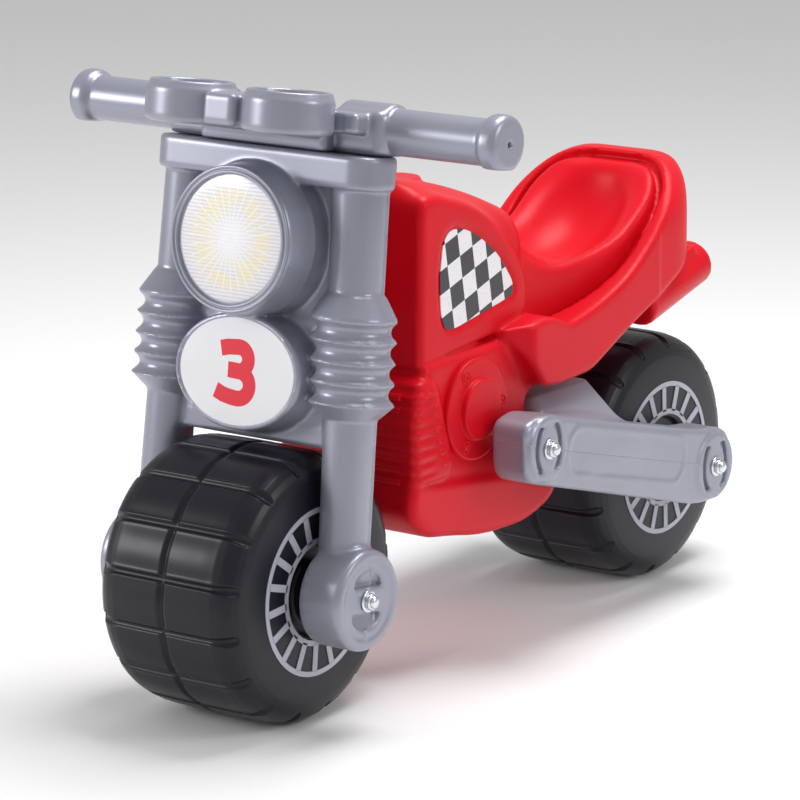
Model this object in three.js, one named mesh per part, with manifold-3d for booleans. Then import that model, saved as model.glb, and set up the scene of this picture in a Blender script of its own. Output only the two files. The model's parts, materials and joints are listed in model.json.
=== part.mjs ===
// A child's foot-to-floor ride-on motorcycle in blow-moulded plastic.
// Millimetres, +Z up, front of the toy towards -Y, the rider's left side at +X.
// The origin lies on the ground, midway between the two axles.
import * as THREE from 'three';
import { mergeVertices } from 'three/addons/utils/BufferGeometryUtils.js';
import Module from 'manifold-3d';

// ---- driving dimensions ------------------------------------------------------------------------------
const WHEEL_RADIUS = 110;
const WHEEL_BASE = 509;
const FRONT_AXLE_Y = -WHEEL_BASE / 2;
const REAR_AXLE_Y = WHEEL_BASE / 2;
const RAKE = THREE.MathUtils.degToRad(8);     // lean of the fork and of the steering axis
const TRAIL = 24;                             // steering axis behind the plane of the fork legs
const GAP = 0.35;                             // clearance left between neighbouring pieces

const TREAD_HALF = 59;                        // flat part of the tyre, half width
const HUB_FACE = 71;                          // plane of the wheel's disc, from its middle
const RING_OUTER = 68;                        // printed spoke ring
const RING_INNER = 39.5;
const STICKER_THICK = 0.6;
const HUB_RADIUS = 22;
const HUB_END = 77;
const HUB_RECESS = 5;
const WHEEL_FACETS = 30;
const TYRE_RADIUS = WHEEL_RADIUS / Math.cos(Math.PI / WHEEL_FACETS);   // out to the corners of the facets
const BUSH_RADIUS = 9;
const BUSH_FLANGE_RADIUS = 15;

const ROD_RADIUS = 5;                         // axle rods, pivot rod and steering pin
const ROD_CLEARANCE = 0.5;
const WASHER_RADIUS = 9;
const WASHER_THICK = 1.5;
const NUT_RADIUS = 6.5;
const NUT_HEIGHT = 7;

const LEG_X_AXLE = 93;                        // fork legs spread slightly towards the axle
const LEG_X_TOP = 83;
const LEG_RADIUS_AXLE = 19;
const LEG_RADIUS_TOP = 21.5;
const BELLOWS_RADIUS = 34.5;
const BELLOWS_RINGS = 5;
const BELLOWS_PITCH = 16.3;
const BELLOWS_TOP = 218;                      // highest ring, measured along the leg from the axle
const FORK_BOSS_RADIUS = 40.5;
const FORK_BOSS_INNER = 80.5;
const FORK_BOSS_OUTER = 121;
const CROWN_BOTTOM = 319;
const CROWN_TOP = 345;
const CROWN_HALF = 103.5;
const CROWN_DEPTH = 24;
const WEB_FRONT = 8;
const WEB_BACK = 2;
const WEB_BOTTOM = 116;

const LAMP_Z = 272;
const LAMP_FACE = 54;
const LAMP_RIM_RADIUS = 57.5;
const LAMP_BACK_RADIUS = 64;
const LAMP_LENS_RADIUS = 50.5;
const LAMP_RECESS = 3;
const PLATE_Z = 167;
const PLATE_FACE = 33.5;
const PLATE_RIM = [62, 46];
const PLATE_STICKER = [56.5, 42.5];
const PLATE_RECESS = 1.5;

const LUG_RADIUS = 19.5;                      // steering lugs round the pin
const NOSE_BOTTOM = 190;
const NOSE_TOP = 318;
const LOWER_LUG = [170, 189];

const BAR_Z = 365;                            // handlebar axis along the steering axis
const BAR_Y = 13;
const GRIP_RADIUS = 18.3;
const GRIP_CAP_RADIUS = 23;
const GRIP_START = 105;
const GRIP_CAP_START = 192;
const BAR_HALF = 211;
const COLLAR_RADIUS = 21.5;
const COLLAR_START = 58;
const POD_X = 47.5;
const POD_Y = -52;
const POD_RADIUS = 36;
const POD_TOP = 391;
const POD_BOTTOM = 360;
const POD_DISH = 5;

const ARM_OUTER = 122;
const ARM_INNER = 86;
const PIVOT_Y = FRONT_AXLE_Y + 247;
const PIVOT_Z = 181;
const PIVOT_BOSS_RADIUS = 29.5;
const REAR_BOSS_RADIUS = 31.5;
const BOSS_PROUD = 2.5;
const DECK_Z = 205;
const DECK_HALF = 68;
const DECK_FRONT = FRONT_AXLE_Y + 301;
const DECK_BACK = FRONT_AXLE_Y + 392;
const DECK_UNDER = 150;

const TANK_HALF = 62;
const SADDLE_HALF = 58;
const ENGINE_HALF = 60;
const BELLY_HALF = 64;
const COVER_Y = FRONT_AXLE_Y + 220;           // round engine cover and the disc on it
const COVER_Z = 213;
const COVER_RADIUS = 43;
const COVER_FACE = 71;
const COVER_DISC_RADIUS = 25.5;
const COVER_DISC_FACE = 77;
const FILLER_Y = FRONT_AXLE_Y + 207;          // round boss on top of the tank
const FILLER_RADIUS = 21;
const FILLER_TOP = 397;
const SEAT_HALF = 88;
const SEAT_BACK = FRONT_AXLE_Y + 562;
const SEAT_BACK_CORNER = 62;                  // plan radius of the seat's rear corners
const SEAT_TOP = 379;
const SEAT_FALL = 60;
const BOWL_Y = FRONT_AXLE_Y + 415;
const BOWL_Z = 392;
const BOWL_RADII = [74, 112, 104];
const EXHAUST_X = 60;
const EXHAUST_Y = FRONT_AXLE_Y + 524;
const EXHAUST_Z = 265;
const EXHAUST_LENGTH = 100;
const EXHAUST_RADIUS = 18.5;
const EXHAUST_RISE = THREE.MathUtils.degToRad(14);
const NOSE_REACH = 130;                       // how far the nose's web runs back into the body

const GREY_PLASTIC = { color: 0xa9a8bd, roughness: 0.42, metalness: 0.05 };
const RED_PLASTIC = { color: 0xd8101c, roughness: 0.35, metalness: 0 };
const BLACK_PLASTIC = { color: 0x1c1c20, roughness: 0.45, metalness: 0 };
const ZINC = { color: 0xc9ccd2, roughness: 0.25, metalness: 1 };
const PRINT = { color: 0xf2f2f4, roughness: 0.3, metalness: 0 };

// ---- solid tools -------------------------------------------------------------------------------------
const wasm = await Module();
wasm.setup();

function solid(geometry) {
  const bare = geometry.clone();
  for (const name of ['normal', 'uv']) bare.deleteAttribute(name);
  const merged = mergeVertices(bare, 1e-4);
  return new wasm.Manifold(new wasm.Mesh({
    numProp: 3,
    vertProperties: new Float32Array(merged.attributes.position.array),
    triVerts: new Uint32Array(merged.index.array),
  }));
}

function geometryOf(manifold) {
  const mesh = manifold.getMesh();
  const geometry = new THREE.BufferGeometry();
  geometry.setAttribute('position', new THREE.BufferAttribute(new Float32Array(mesh.vertProperties), 3));
  geometry.setIndex(new THREE.BufferAttribute(new Uint32Array(mesh.triVerts), 1));
  geometry.computeVertexNormals();
  return geometry;
}

const join = (...pieces) => pieces.reduce((whole, piece) => whole.add(piece));
const cut = (whole, ...tools) => tools.reduce((rest, tool) => rest.subtract(tool), whole);

// ---- shape tools -------------------------------------------------------------------------------------
const SIDE_VIEW = new THREE.Matrix4().makeBasis(
  new THREE.Vector3(0, 1, 0), new THREE.Vector3(0, 0, 1), new THREE.Vector3(1, 0, 0));
const FRONT_VIEW = new THREE.Matrix4().makeBasis(
  new THREE.Vector3(1, 0, 0), new THREE.Vector3(0, 0, 1), new THREE.Vector3(0, -1, 0));

// The same outline as straight pieces, without points that repeat or lie on a straight run.
function polygonOf(shape, curveSegments) {
  const points = shape.getPoints(curveSegments).filter((p, i, all) => p.distanceTo(all.at(i - 1)) > 0.05);
  const corners = points.filter((p, i, all) => {
    const a = p.clone().sub(all.at(i - 1));
    const b = all[(i + 1) % all.length].clone().sub(p);
    return Math.abs(a.cross(b)) > 1e-3 * a.length() * b.length();
  });
  return new THREE.Shape(corners);
}

// A side outline in (y, z), extruded from x = from to x = to with rounded edges.
function sideSlab(corners, from, to, bevel = 0) {
  const outline = roundedOutline(insetCorners(corners, bevel));
  const geometry = new THREE.ExtrudeGeometry(polygonOf(outline, 4), {
    depth: to - from - 2 * bevel,
    bevelEnabled: bevel > 0,
    bevelThickness: bevel,
    bevelSize: bevel,
    bevelSegments: 2,
  });
  geometry.translate(0, 0, from + bevel);
  geometry.applyMatrix4(SIDE_VIEW);
  return solid(geometry);
}

// A front outline in (x, z), extruded from y = from to y = to.
function frontSlab(shape, from, to, curveSegments = 12) {
  const outline = polygonOf(shape, curveSegments);
  const geometry = new THREE.ExtrudeGeometry(outline, { depth: to - from, bevelEnabled: false });
  geometry.translate(0, 0, -to);
  geometry.applyMatrix4(FRONT_VIEW);
  return solid(geometry);
}

// The corner points of an outline whose every edge has moved inwards by the inset.
function insetCorners(corners, inset) {
  const points = corners.map(([x, y]) => new THREE.Vector2(x, y));
  const inwards = Math.sign(THREE.ShapeUtils.area(points));
  const edgeAfter = points.map((p, i) => {
    const direction = points[(i + 1) % points.length].clone().sub(p).normalize();
    const normal = new THREE.Vector2(-direction.y, direction.x).multiplyScalar(inwards * inset);
    return { direction, through: p.clone().add(normal) };
  });
  return corners.map(([, , radius], i) => {
    const a = edgeAfter.at(i - 1);
    const b = edgeAfter[i];
    const along = b.through.clone().sub(a.through).cross(b.direction) / a.direction.cross(b.direction);
    const corner = a.through.clone().addScaledVector(a.direction, along);
    return [corner.x, corner.y, radius];
  });
}

// A smooth closed outline through corner points, each corner rounded by its own radius.
function roundedOutline(corners) {
  const shape = new THREE.Shape();
  corners.forEach(([x, y, radius], i) => {
    const here = new THREE.Vector2(x, y);
    const before = new THREE.Vector2(...corners.at(i - 1));
    const after = new THREE.Vector2(...corners[(i + 1) % corners.length]);
    const inDirection = before.sub(here);
    const outDirection = after.sub(here);
    const reach = Math.min(radius, inDirection.length() * 0.48, outDirection.length() * 0.48);
    const start = here.clone().addScaledVector(inDirection.normalize(), reach);
    const end = here.clone().addScaledVector(outDirection.normalize(), reach);
    if (i === 0) shape.moveTo(start.x, start.y);
    else shape.lineTo(start.x, start.y);
    if (reach > 0) shape.quadraticCurveTo(x, y, end.x, end.y);
  });
  shape.closePath();
  return shape;
}

function boxSolid(x, y, z) {
  const geometry = new THREE.BoxGeometry(x[1] - x[0], y[1] - y[0], z[1] - z[0]);
  geometry.translate((x[0] + x[1]) / 2, (y[0] + y[1]) / 2, (z[0] + z[1]) / 2);
  return solid(geometry);
}

// A solid of revolution round an axis along X through (y, z); the profile is [distance along X, radius].
// It is turned by half a facet, so that a wheel stands on a flat.
function turnedX(profile, y, z, segments = WHEEL_FACETS) {
  const points = profile.map(([x, r]) => new THREE.Vector2(r, x));
  const geometry = new THREE.LatheGeometry(points, segments);
  geometry.rotateZ(-Math.PI / 2);
  geometry.rotateX(Math.PI / segments);
  geometry.translate(0, y, z);
  return solid(geometry);
}

// A solid of revolution round an axis along Z; the profile is [height, radius].
function turnedZ(profile, x, y, segments = 24) {
  const points = profile.map(([h, r]) => new THREE.Vector2(r, h));
  const geometry = new THREE.LatheGeometry(points, segments);
  geometry.rotateX(Math.PI / 2);
  geometry.translate(x, y, 0);
  return solid(geometry);
}

const discX = (x, radius, y, z, segments = 24) =>
  turnedX([[x[0], 0], [x[0], radius], [x[1], radius], [x[1], 0]], y, z, segments);
const discZ = (z, radius, x, y, segments = 24) =>
  turnedZ([[z[0], 0], [z[0], radius], [z[1], radius], [z[1], 0]], x, y, segments);
const ringX = (x, inner, outer, y, z, segments = WHEEL_FACETS) =>
  turnedX([[x[0], inner], [x[0], outer], [x[1], outer], [x[1], inner], [x[0], inner]], y, z, segments);
const ringZ = (z, inner, outer, x, y, segments = 24) =>
  turnedZ([[z[0], inner], [z[0], outer], [z[1], outer], [z[1], inner], [z[0], inner]], x, y, segments);

const mirrored = (x, side) => (side > 0 ? x : [-x[1], -x[0]]);

// ---- assembly ----------------------------------------------------------------------------------------
const motorcycle = new THREE.Group();
const steering = new THREE.Group();
steering.position.set(0, FRONT_AXLE_Y, WHEEL_RADIUS);
steering.rotation.x = -RAKE;
motorcycle.add(steering);

function place(parent, name, manifold, finish) {
  const mesh = new THREE.Mesh(geometryOf(manifold), new THREE.MeshStandardMaterial(finish));
  mesh.name = name;
  parent.add(mesh);
}

const SIDES = [['left', 1], ['right', -1]];

// ---- wheels ------------------------------------------------------------------------------------------
function wheelSolid(y, z) {
  const leftHalf = [
    [TREAD_HALF - 12, TYRE_RADIUS],
    [TREAD_HALF, TYRE_RADIUS - 1.5],
    [HUB_FACE - 6, TYRE_RADIUS - 7.5],
    [HUB_FACE - 2.5, TYRE_RADIUS - 17],
    [HUB_FACE - 1.5, TYRE_RADIUS - 32],
    [HUB_FACE, RING_OUTER + 2],
    [HUB_FACE, RING_INNER - 2],
    [HUB_FACE - HUB_RECESS, RING_INNER - 4],
    [HUB_FACE - HUB_RECESS, HUB_RADIUS + 2],
    [HUB_END, HUB_RADIUS],
    [HUB_END, BUSH_RADIUS + GAP],
  ];
  const rightHalf = leftHalf.map(([x, r]) => [-x, r]).reverse();
  return turnedX([...rightHalf, ...leftHalf, rightHalf[0]], y, z, WHEEL_FACETS);
}

function addWheel(parent, prefix, y, z) {
  place(parent, `${prefix}_wheel`, wheelSolid(y, z), BLACK_PLASTIC);
  for (const [sideName, side] of SIDES) {
    const sticker = mirrored([HUB_FACE + GAP, HUB_FACE + GAP + STICKER_THICK], side);
    place(parent, `${prefix}_spoke_sticker_${sideName}`,
      ringX(sticker, RING_INNER, RING_OUTER, y, z), PRINT);
    const barrel = ringX(mirrored([HUB_END - 25, HUB_END + GAP], side),
      ROD_RADIUS + ROD_CLEARANCE, BUSH_RADIUS, y, z, 16);
    const flange = ringX(mirrored([HUB_END + GAP, HUB_END + 2.6], side),
      ROD_RADIUS + ROD_CLEARANCE, BUSH_FLANGE_RADIUS, y, z, 16);
    place(parent, `${prefix}_hub_bush_${sideName}`, join(barrel, flange), BLACK_PLASTIC);
  }
}

// A through rod along X with a washer and a domed cap nut at each end.
function addThroughRod(parent, name, y, z, seat) {
  place(parent, name, discX([-seat - 4, seat + 4], ROD_RADIUS, y, z, 16), ZINC);
  for (const [sideName, side] of SIDES) {
    const washer = mirrored([seat + GAP, seat + GAP + WASHER_THICK], side);
    place(parent, `${name}_washer_${sideName}`,
      ringX(washer, ROD_RADIUS + ROD_CLEARANCE, WASHER_RADIUS, y, z, 16), ZINC);
    const base = seat + 2 * GAP + WASHER_THICK;
    const outer = [
      [base, ROD_RADIUS + GAP],
      [base, NUT_RADIUS + 1],
      [base + NUT_HEIGHT * 0.55, NUT_RADIUS + 1],
      [base + NUT_HEIGHT * 0.85, NUT_RADIUS - 2],
      [base + NUT_HEIGHT, 0],
      [seat + 4 + GAP, 0],
      [seat + 4 + GAP, ROD_RADIUS + GAP],
    ];
    const profile = [...outer, outer[0]].map(([x, r]) => [side * x, r]);
    if (side < 0) profile.reverse();
    place(parent, `${name}_cap_nut_${sideName}`, turnedX(profile, y, z, 16), ZINC);
  }
}

// ---- fork --------------------------------------------------------------------------------------------
function forkLeg(side) {
  const lean = Math.atan2(LEG_X_AXLE - LEG_X_TOP, CROWN_BOTTOM);
  const length = CROWN_BOTTOM + 8;
  const at = (h) => LEG_RADIUS_AXLE + (LEG_RADIUS_TOP - LEG_RADIUS_AXLE) * (h / length);
  const profile = [[0, 0], [0, at(0)]];
  const lowest = BELLOWS_TOP - (BELLOWS_RINGS - 1) * BELLOWS_PITCH;
  profile.push([lowest - 20, at(lowest)]);
  for (let ring = 0; ring < BELLOWS_RINGS; ring += 1) {
    const h = lowest + ring * BELLOWS_PITCH;
    if (ring === 0) profile.push([h - 14, at(h) + 4]);
    profile.push([h - 1.5, BELLOWS_RADIUS]);
    profile.push([h + 1.5, BELLOWS_RADIUS]);
    if (ring < BELLOWS_RINGS - 1) profile.push([h + BELLOWS_PITCH / 2, BELLOWS_RADIUS - 7]);
  }
  profile.push([BELLOWS_TOP + 18, at(BELLOWS_TOP) + 1], [length, at(length)], [length, 0]);
  const geometry = new THREE.LatheGeometry(profile.map(([h, r]) => new THREE.Vector2(r, h)), 18);
  geometry.rotateX(Math.PI / 2);
  geometry.rotateY(-side * lean);
  geometry.translate(side * LEG_X_AXLE, 0, 0);
  return solid(geometry);
}

function forkBoss(side) {
  const rim = FORK_BOSS_RADIUS - 4;
  const profile = [
    [FORK_BOSS_INNER, 0],
    [FORK_BOSS_INNER, FORK_BOSS_RADIUS - 2],
    [FORK_BOSS_INNER + 3, FORK_BOSS_RADIUS],
    [FORK_BOSS_OUTER - 4, FORK_BOSS_RADIUS],
    [FORK_BOSS_OUTER, rim],
    [FORK_BOSS_OUTER, rim - 5],
    [FORK_BOSS_OUTER - 1.5, rim - 7],
    [FORK_BOSS_OUTER - 1.5, 0],
  ].map(([x, r]) => [side * x, r]);
  if (side < 0) profile.reverse();
  return turnedX(profile, 0, 0);
}

function ellipseDrum(halfX, halfZ, z, front, back) {
  const shape = new THREE.Shape();
  shape.absellipse(0, z, halfX, halfZ, 0, 2 * Math.PI);
  return frontSlab(shape, -front, -back, 13);
}

// The headlight housing widens slightly towards the web, the way it leaves its mould.
function lampDrum() {
  const geometry = new THREE.CylinderGeometry(LAMP_BACK_RADIUS, LAMP_RIM_RADIUS, LAMP_FACE, 40);
  geometry.translate(0, -LAMP_FACE / 2, LAMP_Z);
  return solid(geometry);
}

function forkSolid() {
  const crownShape = roundedOutline([
    [-CROWN_HALF, CROWN_BOTTOM, 6], [CROWN_HALF, CROWN_BOTTOM, 6],
    [CROWN_HALF, CROWN_TOP, 6], [-CROWN_HALF, CROWN_TOP, 6]]);
  const webShape = new THREE.Shape();
  webShape.moveTo(-LEG_X_AXLE + 6, WEB_BOTTOM);
  webShape.lineTo(LEG_X_AXLE - 6, WEB_BOTTOM);
  webShape.lineTo(LEG_X_TOP, CROWN_BOTTOM + 4);
  webShape.lineTo(-LEG_X_TOP, CROWN_BOTTOM + 4);
  const lugAt = (z) => join(
    discZ(z, LUG_RADIUS, 0, TRAIL),
    boxSolid([-LUG_RADIUS, LUG_RADIUS], [-1, TRAIL], z));
  const fork = join(
    frontSlab(crownShape, -CROWN_DEPTH, CROWN_DEPTH, 3),
    frontSlab(webShape, -WEB_FRONT, WEB_BACK),
    ...SIDES.flatMap(([, side]) => [forkLeg(side), forkBoss(side)]),
    lampDrum(),
    ellipseDrum(PLATE_RIM[0], PLATE_RIM[1], PLATE_Z, PLATE_FACE, 0),
    lugAt(LOWER_LUG),
    lugAt([CROWN_BOTTOM, CROWN_TOP]));
  const pinHole = discZ([LOWER_LUG[0] - 5, CROWN_TOP + 5], ROD_RADIUS + ROD_CLEARANCE, 0, TRAIL, 16);
  const axleHole = discX([-FORK_BOSS_OUTER - 5, FORK_BOSS_OUTER + 5], ROD_RADIUS + ROD_CLEARANCE, 0, 0, 20);
  const wheelRoom = discX([-HUB_FACE - 2.5, HUB_FACE + 2.5], WHEEL_RADIUS + 4, 0, 0);
  const hubRoom = discX([-FORK_BOSS_INNER, FORK_BOSS_INNER], HUB_RADIUS + 4, 0, 0);
  const lampRecess = ellipseDrum(LAMP_LENS_RADIUS + 1, LAMP_LENS_RADIUS + 1, LAMP_Z, LAMP_FACE + 5,
    LAMP_FACE - LAMP_RECESS);
  const plateRecess = ellipseDrum(PLATE_STICKER[0] + 1, PLATE_STICKER[1] + 1, PLATE_Z, PLATE_FACE + 5,
    PLATE_FACE - PLATE_RECESS);
  return cut(fork, pinHole, axleHole, wheelRoom, hubRoom, lampRecess, plateRecess);
}

// ---- handlebar ---------------------------------------------------------------------------------------
function handlebarSolid() {
  const grip = (side) => {
    const profile = [
      [COLLAR_START, 0],
      [COLLAR_START, COLLAR_RADIUS - 3],
      [COLLAR_START + 3, COLLAR_RADIUS],
      [GRIP_START - 2, COLLAR_RADIUS],
      [GRIP_START, GRIP_RADIUS + 1],
      [GRIP_CAP_START, GRIP_RADIUS],
      [GRIP_CAP_START + 4, GRIP_CAP_RADIUS],
      [BAR_HALF - 8, GRIP_CAP_RADIUS],
      [BAR_HALF, GRIP_CAP_RADIUS - 9],
      [BAR_HALF, 0],
    ].map(([x, r]) => [side * x, r]);
    if (side < 0) profile.reverse();
    return turnedX(profile, BAR_Y, BAR_Z, 20);
  };
  const foot = CROWN_TOP + GAP;
  const centre = boxSolid([-34, 34], [-22, TRAIL + LUG_RADIUS], [foot, BAR_Z + 12]);
  const crossBar = boxSolid([-COLLAR_START - 4, COLLAR_START + 4], [-18, 20], [foot + 1, BAR_Z + 6]);
  const pods = SIDES.map(([, side]) => turnedZ([
    [POD_BOTTOM, 0],
    [POD_BOTTOM, POD_RADIUS - 5],
    [POD_BOTTOM + 5, POD_RADIUS],
    [POD_TOP - 2, POD_RADIUS],
    [POD_TOP, POD_RADIUS - 2],
    [POD_TOP, POD_RADIUS - 6],
    [POD_TOP - POD_DISH, POD_RADIUS - 9],
    [POD_TOP - POD_DISH, 0],
  ], side * POD_X, POD_Y, 24));
  const bridge = boxSolid([-16, 16], [POD_Y - 22, BAR_Y], [POD_BOTTOM + 2, POD_TOP - 8]);
  const struts = SIDES.map(([, side]) =>
    boxSolid(mirrored([POD_X - 4, COLLAR_START + 14], side), [POD_Y + 20, BAR_Y + 6],
      [POD_BOTTOM + 2, POD_BOTTOM + 18]));
  const body = join(centre, crossBar, ...pods, bridge, ...struts, grip(1), grip(-1));
  const pinHole = discZ([foot - 5, BAR_Z + 30], ROD_RADIUS + ROD_CLEARANCE, 0, TRAIL, 16);
  const nutWell = discZ([BAR_Z + 8, BAR_Z + 30], WASHER_RADIUS + 4, 0, TRAIL);
  const crownRoom = boxSolid([-CROWN_HALF - 3, CROWN_HALF + 3], [-30, 45], [CROWN_BOTTOM - 10, foot]);
  return cut(body, pinHole, nutWell, crownRoom);
}

// The steering pin runs up through the lower lug, the body's nose, the crown and the handlebar.
function addSteeringPin() {
  const bottomSeat = LOWER_LUG[0];
  const topSeat = BAR_Z + 8;
  place(steering, 'steering_pin',
    discZ([bottomSeat - 4, topSeat + 4], ROD_RADIUS, 0, TRAIL, 16), ZINC);
  for (const [endName, seat, up] of [['top', topSeat, 1], ['bottom', bottomSeat, -1]]) {
    const span = (a, b) => (up > 0 ? [seat + a, seat + b] : [seat - b, seat - a]);
    place(steering, `steering_pin_washer_${endName}`,
      ringZ(span(GAP, GAP + WASHER_THICK), ROD_RADIUS + ROD_CLEARANCE, WASHER_RADIUS, 0, TRAIL, 16), ZINC);
    const base = 2 * GAP + WASHER_THICK;
    const profile = [
      [base, ROD_RADIUS + GAP],
      [base, NUT_RADIUS + 1],
      [base + NUT_HEIGHT * 0.55, NUT_RADIUS + 1],
      [base + NUT_HEIGHT * 0.85, NUT_RADIUS - 2],
      [base + NUT_HEIGHT, 0],
      [4 + GAP, 0],
      [4 + GAP, ROD_RADIUS + GAP],
      [base, ROD_RADIUS + GAP],
    ].map(([h, r]) => [seat + up * h, r]);
    if (up < 0) profile.reverse();
    place(steering, `steering_pin_cap_nut_${endName}`, turnedZ(profile, 0, TRAIL, 16), ZINC);
  }
}

// ---- swingarm ----------------------------------------------------------------------------------------
function armOutline() {
  return [
    [PIVOT_Y - 29, PIVOT_Z - 24, 12],
    [REAR_AXLE_Y - 20, WHEEL_RADIUS - 29, 20],
    [REAR_AXLE_Y + 30, WHEEL_RADIUS - 30, 26],
    [REAR_AXLE_Y + 30, WHEEL_RADIUS + 30, 26],
    [REAR_AXLE_Y - 24, WHEEL_RADIUS + 36, 10],
    [PIVOT_Y + 28, PIVOT_Z + 21, 10],
    [PIVOT_Y - 6, PIVOT_Z + 29, 8],
    [PIVOT_Y - 31, PIVOT_Z + 22, 10],
  ];
}

function swingarmSolid() {
  const arms = SIDES.map(([, side]) => sideSlab(armOutline(), ...mirrored([ARM_INNER, ARM_OUTER], side), 4));
  const bosses = SIDES.flatMap(([, side]) => [
    discX(mirrored([ARM_OUTER - 6, ARM_OUTER + BOSS_PROUD], side), PIVOT_BOSS_RADIUS - 4, PIVOT_Y, PIVOT_Z),
    discX(mirrored([ARM_OUTER - 6, ARM_OUTER + BOSS_PROUD], side), REAR_BOSS_RADIUS - 3, REAR_AXLE_Y,
      WHEEL_RADIUS),
    discX(mirrored([HUB_END + 3.2, ARM_INNER + 6], side), HUB_RADIUS, REAR_AXLE_Y, WHEEL_RADIUS),
  ]);
  const deckShape = new THREE.Shape();
  deckShape.moveTo(-ARM_INNER - 6, DECK_UNDER);
  deckShape.lineTo(ARM_INNER + 6, DECK_UNDER);
  deckShape.lineTo(ARM_OUTER - 14, DECK_UNDER + 22);
  deckShape.lineTo(DECK_HALF, DECK_Z);
  deckShape.lineTo(-DECK_HALF, DECK_Z);
  deckShape.lineTo(-ARM_OUTER + 14, DECK_UNDER + 22);
  const deck = frontSlab(deckShape, DECK_FRONT, DECK_BACK);
  const rodHoles = [[PIVOT_Y, PIVOT_Z], [REAR_AXLE_Y, WHEEL_RADIUS]].map(([y, z]) =>
    discX([-ARM_OUTER - 9, ARM_OUTER + 9], ROD_RADIUS + ROD_CLEARANCE, y, z, 16));
  return cut(join(...arms, ...bosses, deck), ...rodHoles);
}

// ---- body --------------------------------------------------------------------------------------------
const fromFrontAxle = (corners) => corners.map(([y, z, r]) => [FRONT_AXLE_Y + y, z, r]);

const TANK = fromFrontAxle([
  [150, 250, 6], [300, 262, 10], [311, 296, 20], [298, 330, 30], [262, 366, 40], [205, 394, 30],
  [166, 408, 12], [154, 398, 10]]);
const SADDLE = fromFrontAxle([
  [200, 262, 6], [330, 240, 10], [430, 262, 20], [520, 292, 20], [556, 330, 20], [561, 376, 18],
  [520, 378, 14], [440, 350, 40], [350, 340, 30], [250, 372, 20], [200, 392, 10]]);
const TAIL = fromFrontAxle([
  [262, 268, 4], [300, 214, 8], [372, 216, 8], [436, 246, 20], [520, 278, 20], [556, 318, 24],
  [561, 370, 20], [530, 377, 14], [474, 358, 40], [430, 318, 50], [370, 302, 40], [316, 314, 10]]);
const ENGINE = fromFrontAxle([
  [132, 140, 6], [296, 136, 6], [296, 208, 4], [330, 222, 6], [330, 262, 6], [154, 262, 6], [140, 235, 12]]);
const BELLY = fromFrontAxle([
  [129, 138, 12], [160, 114, 26], [235, 105, 30], [300, 103, 20], [336, 116, 14], [346, 142, 6],
  [294, 146, 6], [170, 166, 8], [136, 168, 8]]);

// Moves a solid from the steering's leaning frame to the frame of the body.
function leaned(piece) {
  return piece.rotate([THREE.MathUtils.radToDeg(-RAKE), 0, 0]).translate([0, FRONT_AXLE_Y, WHEEL_RADIUS]);
}

function noseSolid() {
  return leaned(join(
    discZ([NOSE_BOTTOM, NOSE_TOP], LUG_RADIUS, 0, TRAIL),
    boxSolid([-LUG_RADIUS, LUG_RADIUS], [TRAIL, TRAIL + NOSE_REACH], [NOSE_BOTTOM + 6, NOSE_TOP - 22])));
}

function steeringBore() {
  return leaned(discZ([NOSE_BOTTOM - 5, NOSE_TOP + 5], ROD_RADIUS + ROD_CLEARANCE, 0, TRAIL, 16));
}

// The seat seen from above: straight sides and a broad round back.
function seatPlan() {
  const front = FRONT_AXLE_Y + 100;
  const shape = roundedOutline([
    [-SEAT_HALF - 1, front, 0], [SEAT_HALF + 1, front, 0],
    [SEAT_HALF + 1, SEAT_BACK, SEAT_BACK_CORNER], [-SEAT_HALF - 1, SEAT_BACK, SEAT_BACK_CORNER]]);
  const geometry = new THREE.ExtrudeGeometry(polygonOf(shape, 8), { depth: 250, bevelEnabled: false });
  geometry.translate(0, 0, 180);
  return solid(geometry);
}

// The seat seen from behind: its highest edges fall away towards the sides.
function seatRear() {
  const side = SEAT_HALF + 1;
  return frontSlab(roundedOutline([
    [-side, 180, 0], [side, 180, 0], [side, SEAT_TOP, SEAT_FALL], [-side, SEAT_TOP, SEAT_FALL]]),
  FRONT_AXLE_Y + 100, SEAT_BACK + 10, 6);
}

function ellipsoid(x, y, z, radii) {
  const geometry = new THREE.SphereGeometry(1, 24, 14);
  geometry.scale(...radii);
  geometry.translate(x, y, z);
  return solid(geometry);
}

function exhaustStub(side) {
  const geometry = new THREE.CylinderGeometry(EXHAUST_RADIUS, EXHAUST_RADIUS, EXHAUST_LENGTH, 20);
  geometry.rotateX(EXHAUST_RISE);
  geometry.translate(side * EXHAUST_X, EXHAUST_Y, EXHAUST_Z);
  return solid(geometry);
}

function engineCover(side) {
  return join(
    discX(mirrored([ENGINE_HALF - 4, COVER_FACE], side), COVER_RADIUS, COVER_Y, COVER_Z),
    discX(mirrored([COVER_FACE - 5, COVER_DISC_FACE], side), COVER_DISC_RADIUS, COVER_Y, COVER_Z));
}

function fillerBoss() {
  return turnedZ([
    [FILLER_TOP - 20, 0],
    [FILLER_TOP - 20, FILLER_RADIUS],
    [FILLER_TOP - 2, FILLER_RADIUS],
    [FILLER_TOP, FILLER_RADIUS - 3],
    [FILLER_TOP, 0],
  ], 0, FILLER_Y, 20);
}

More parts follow.
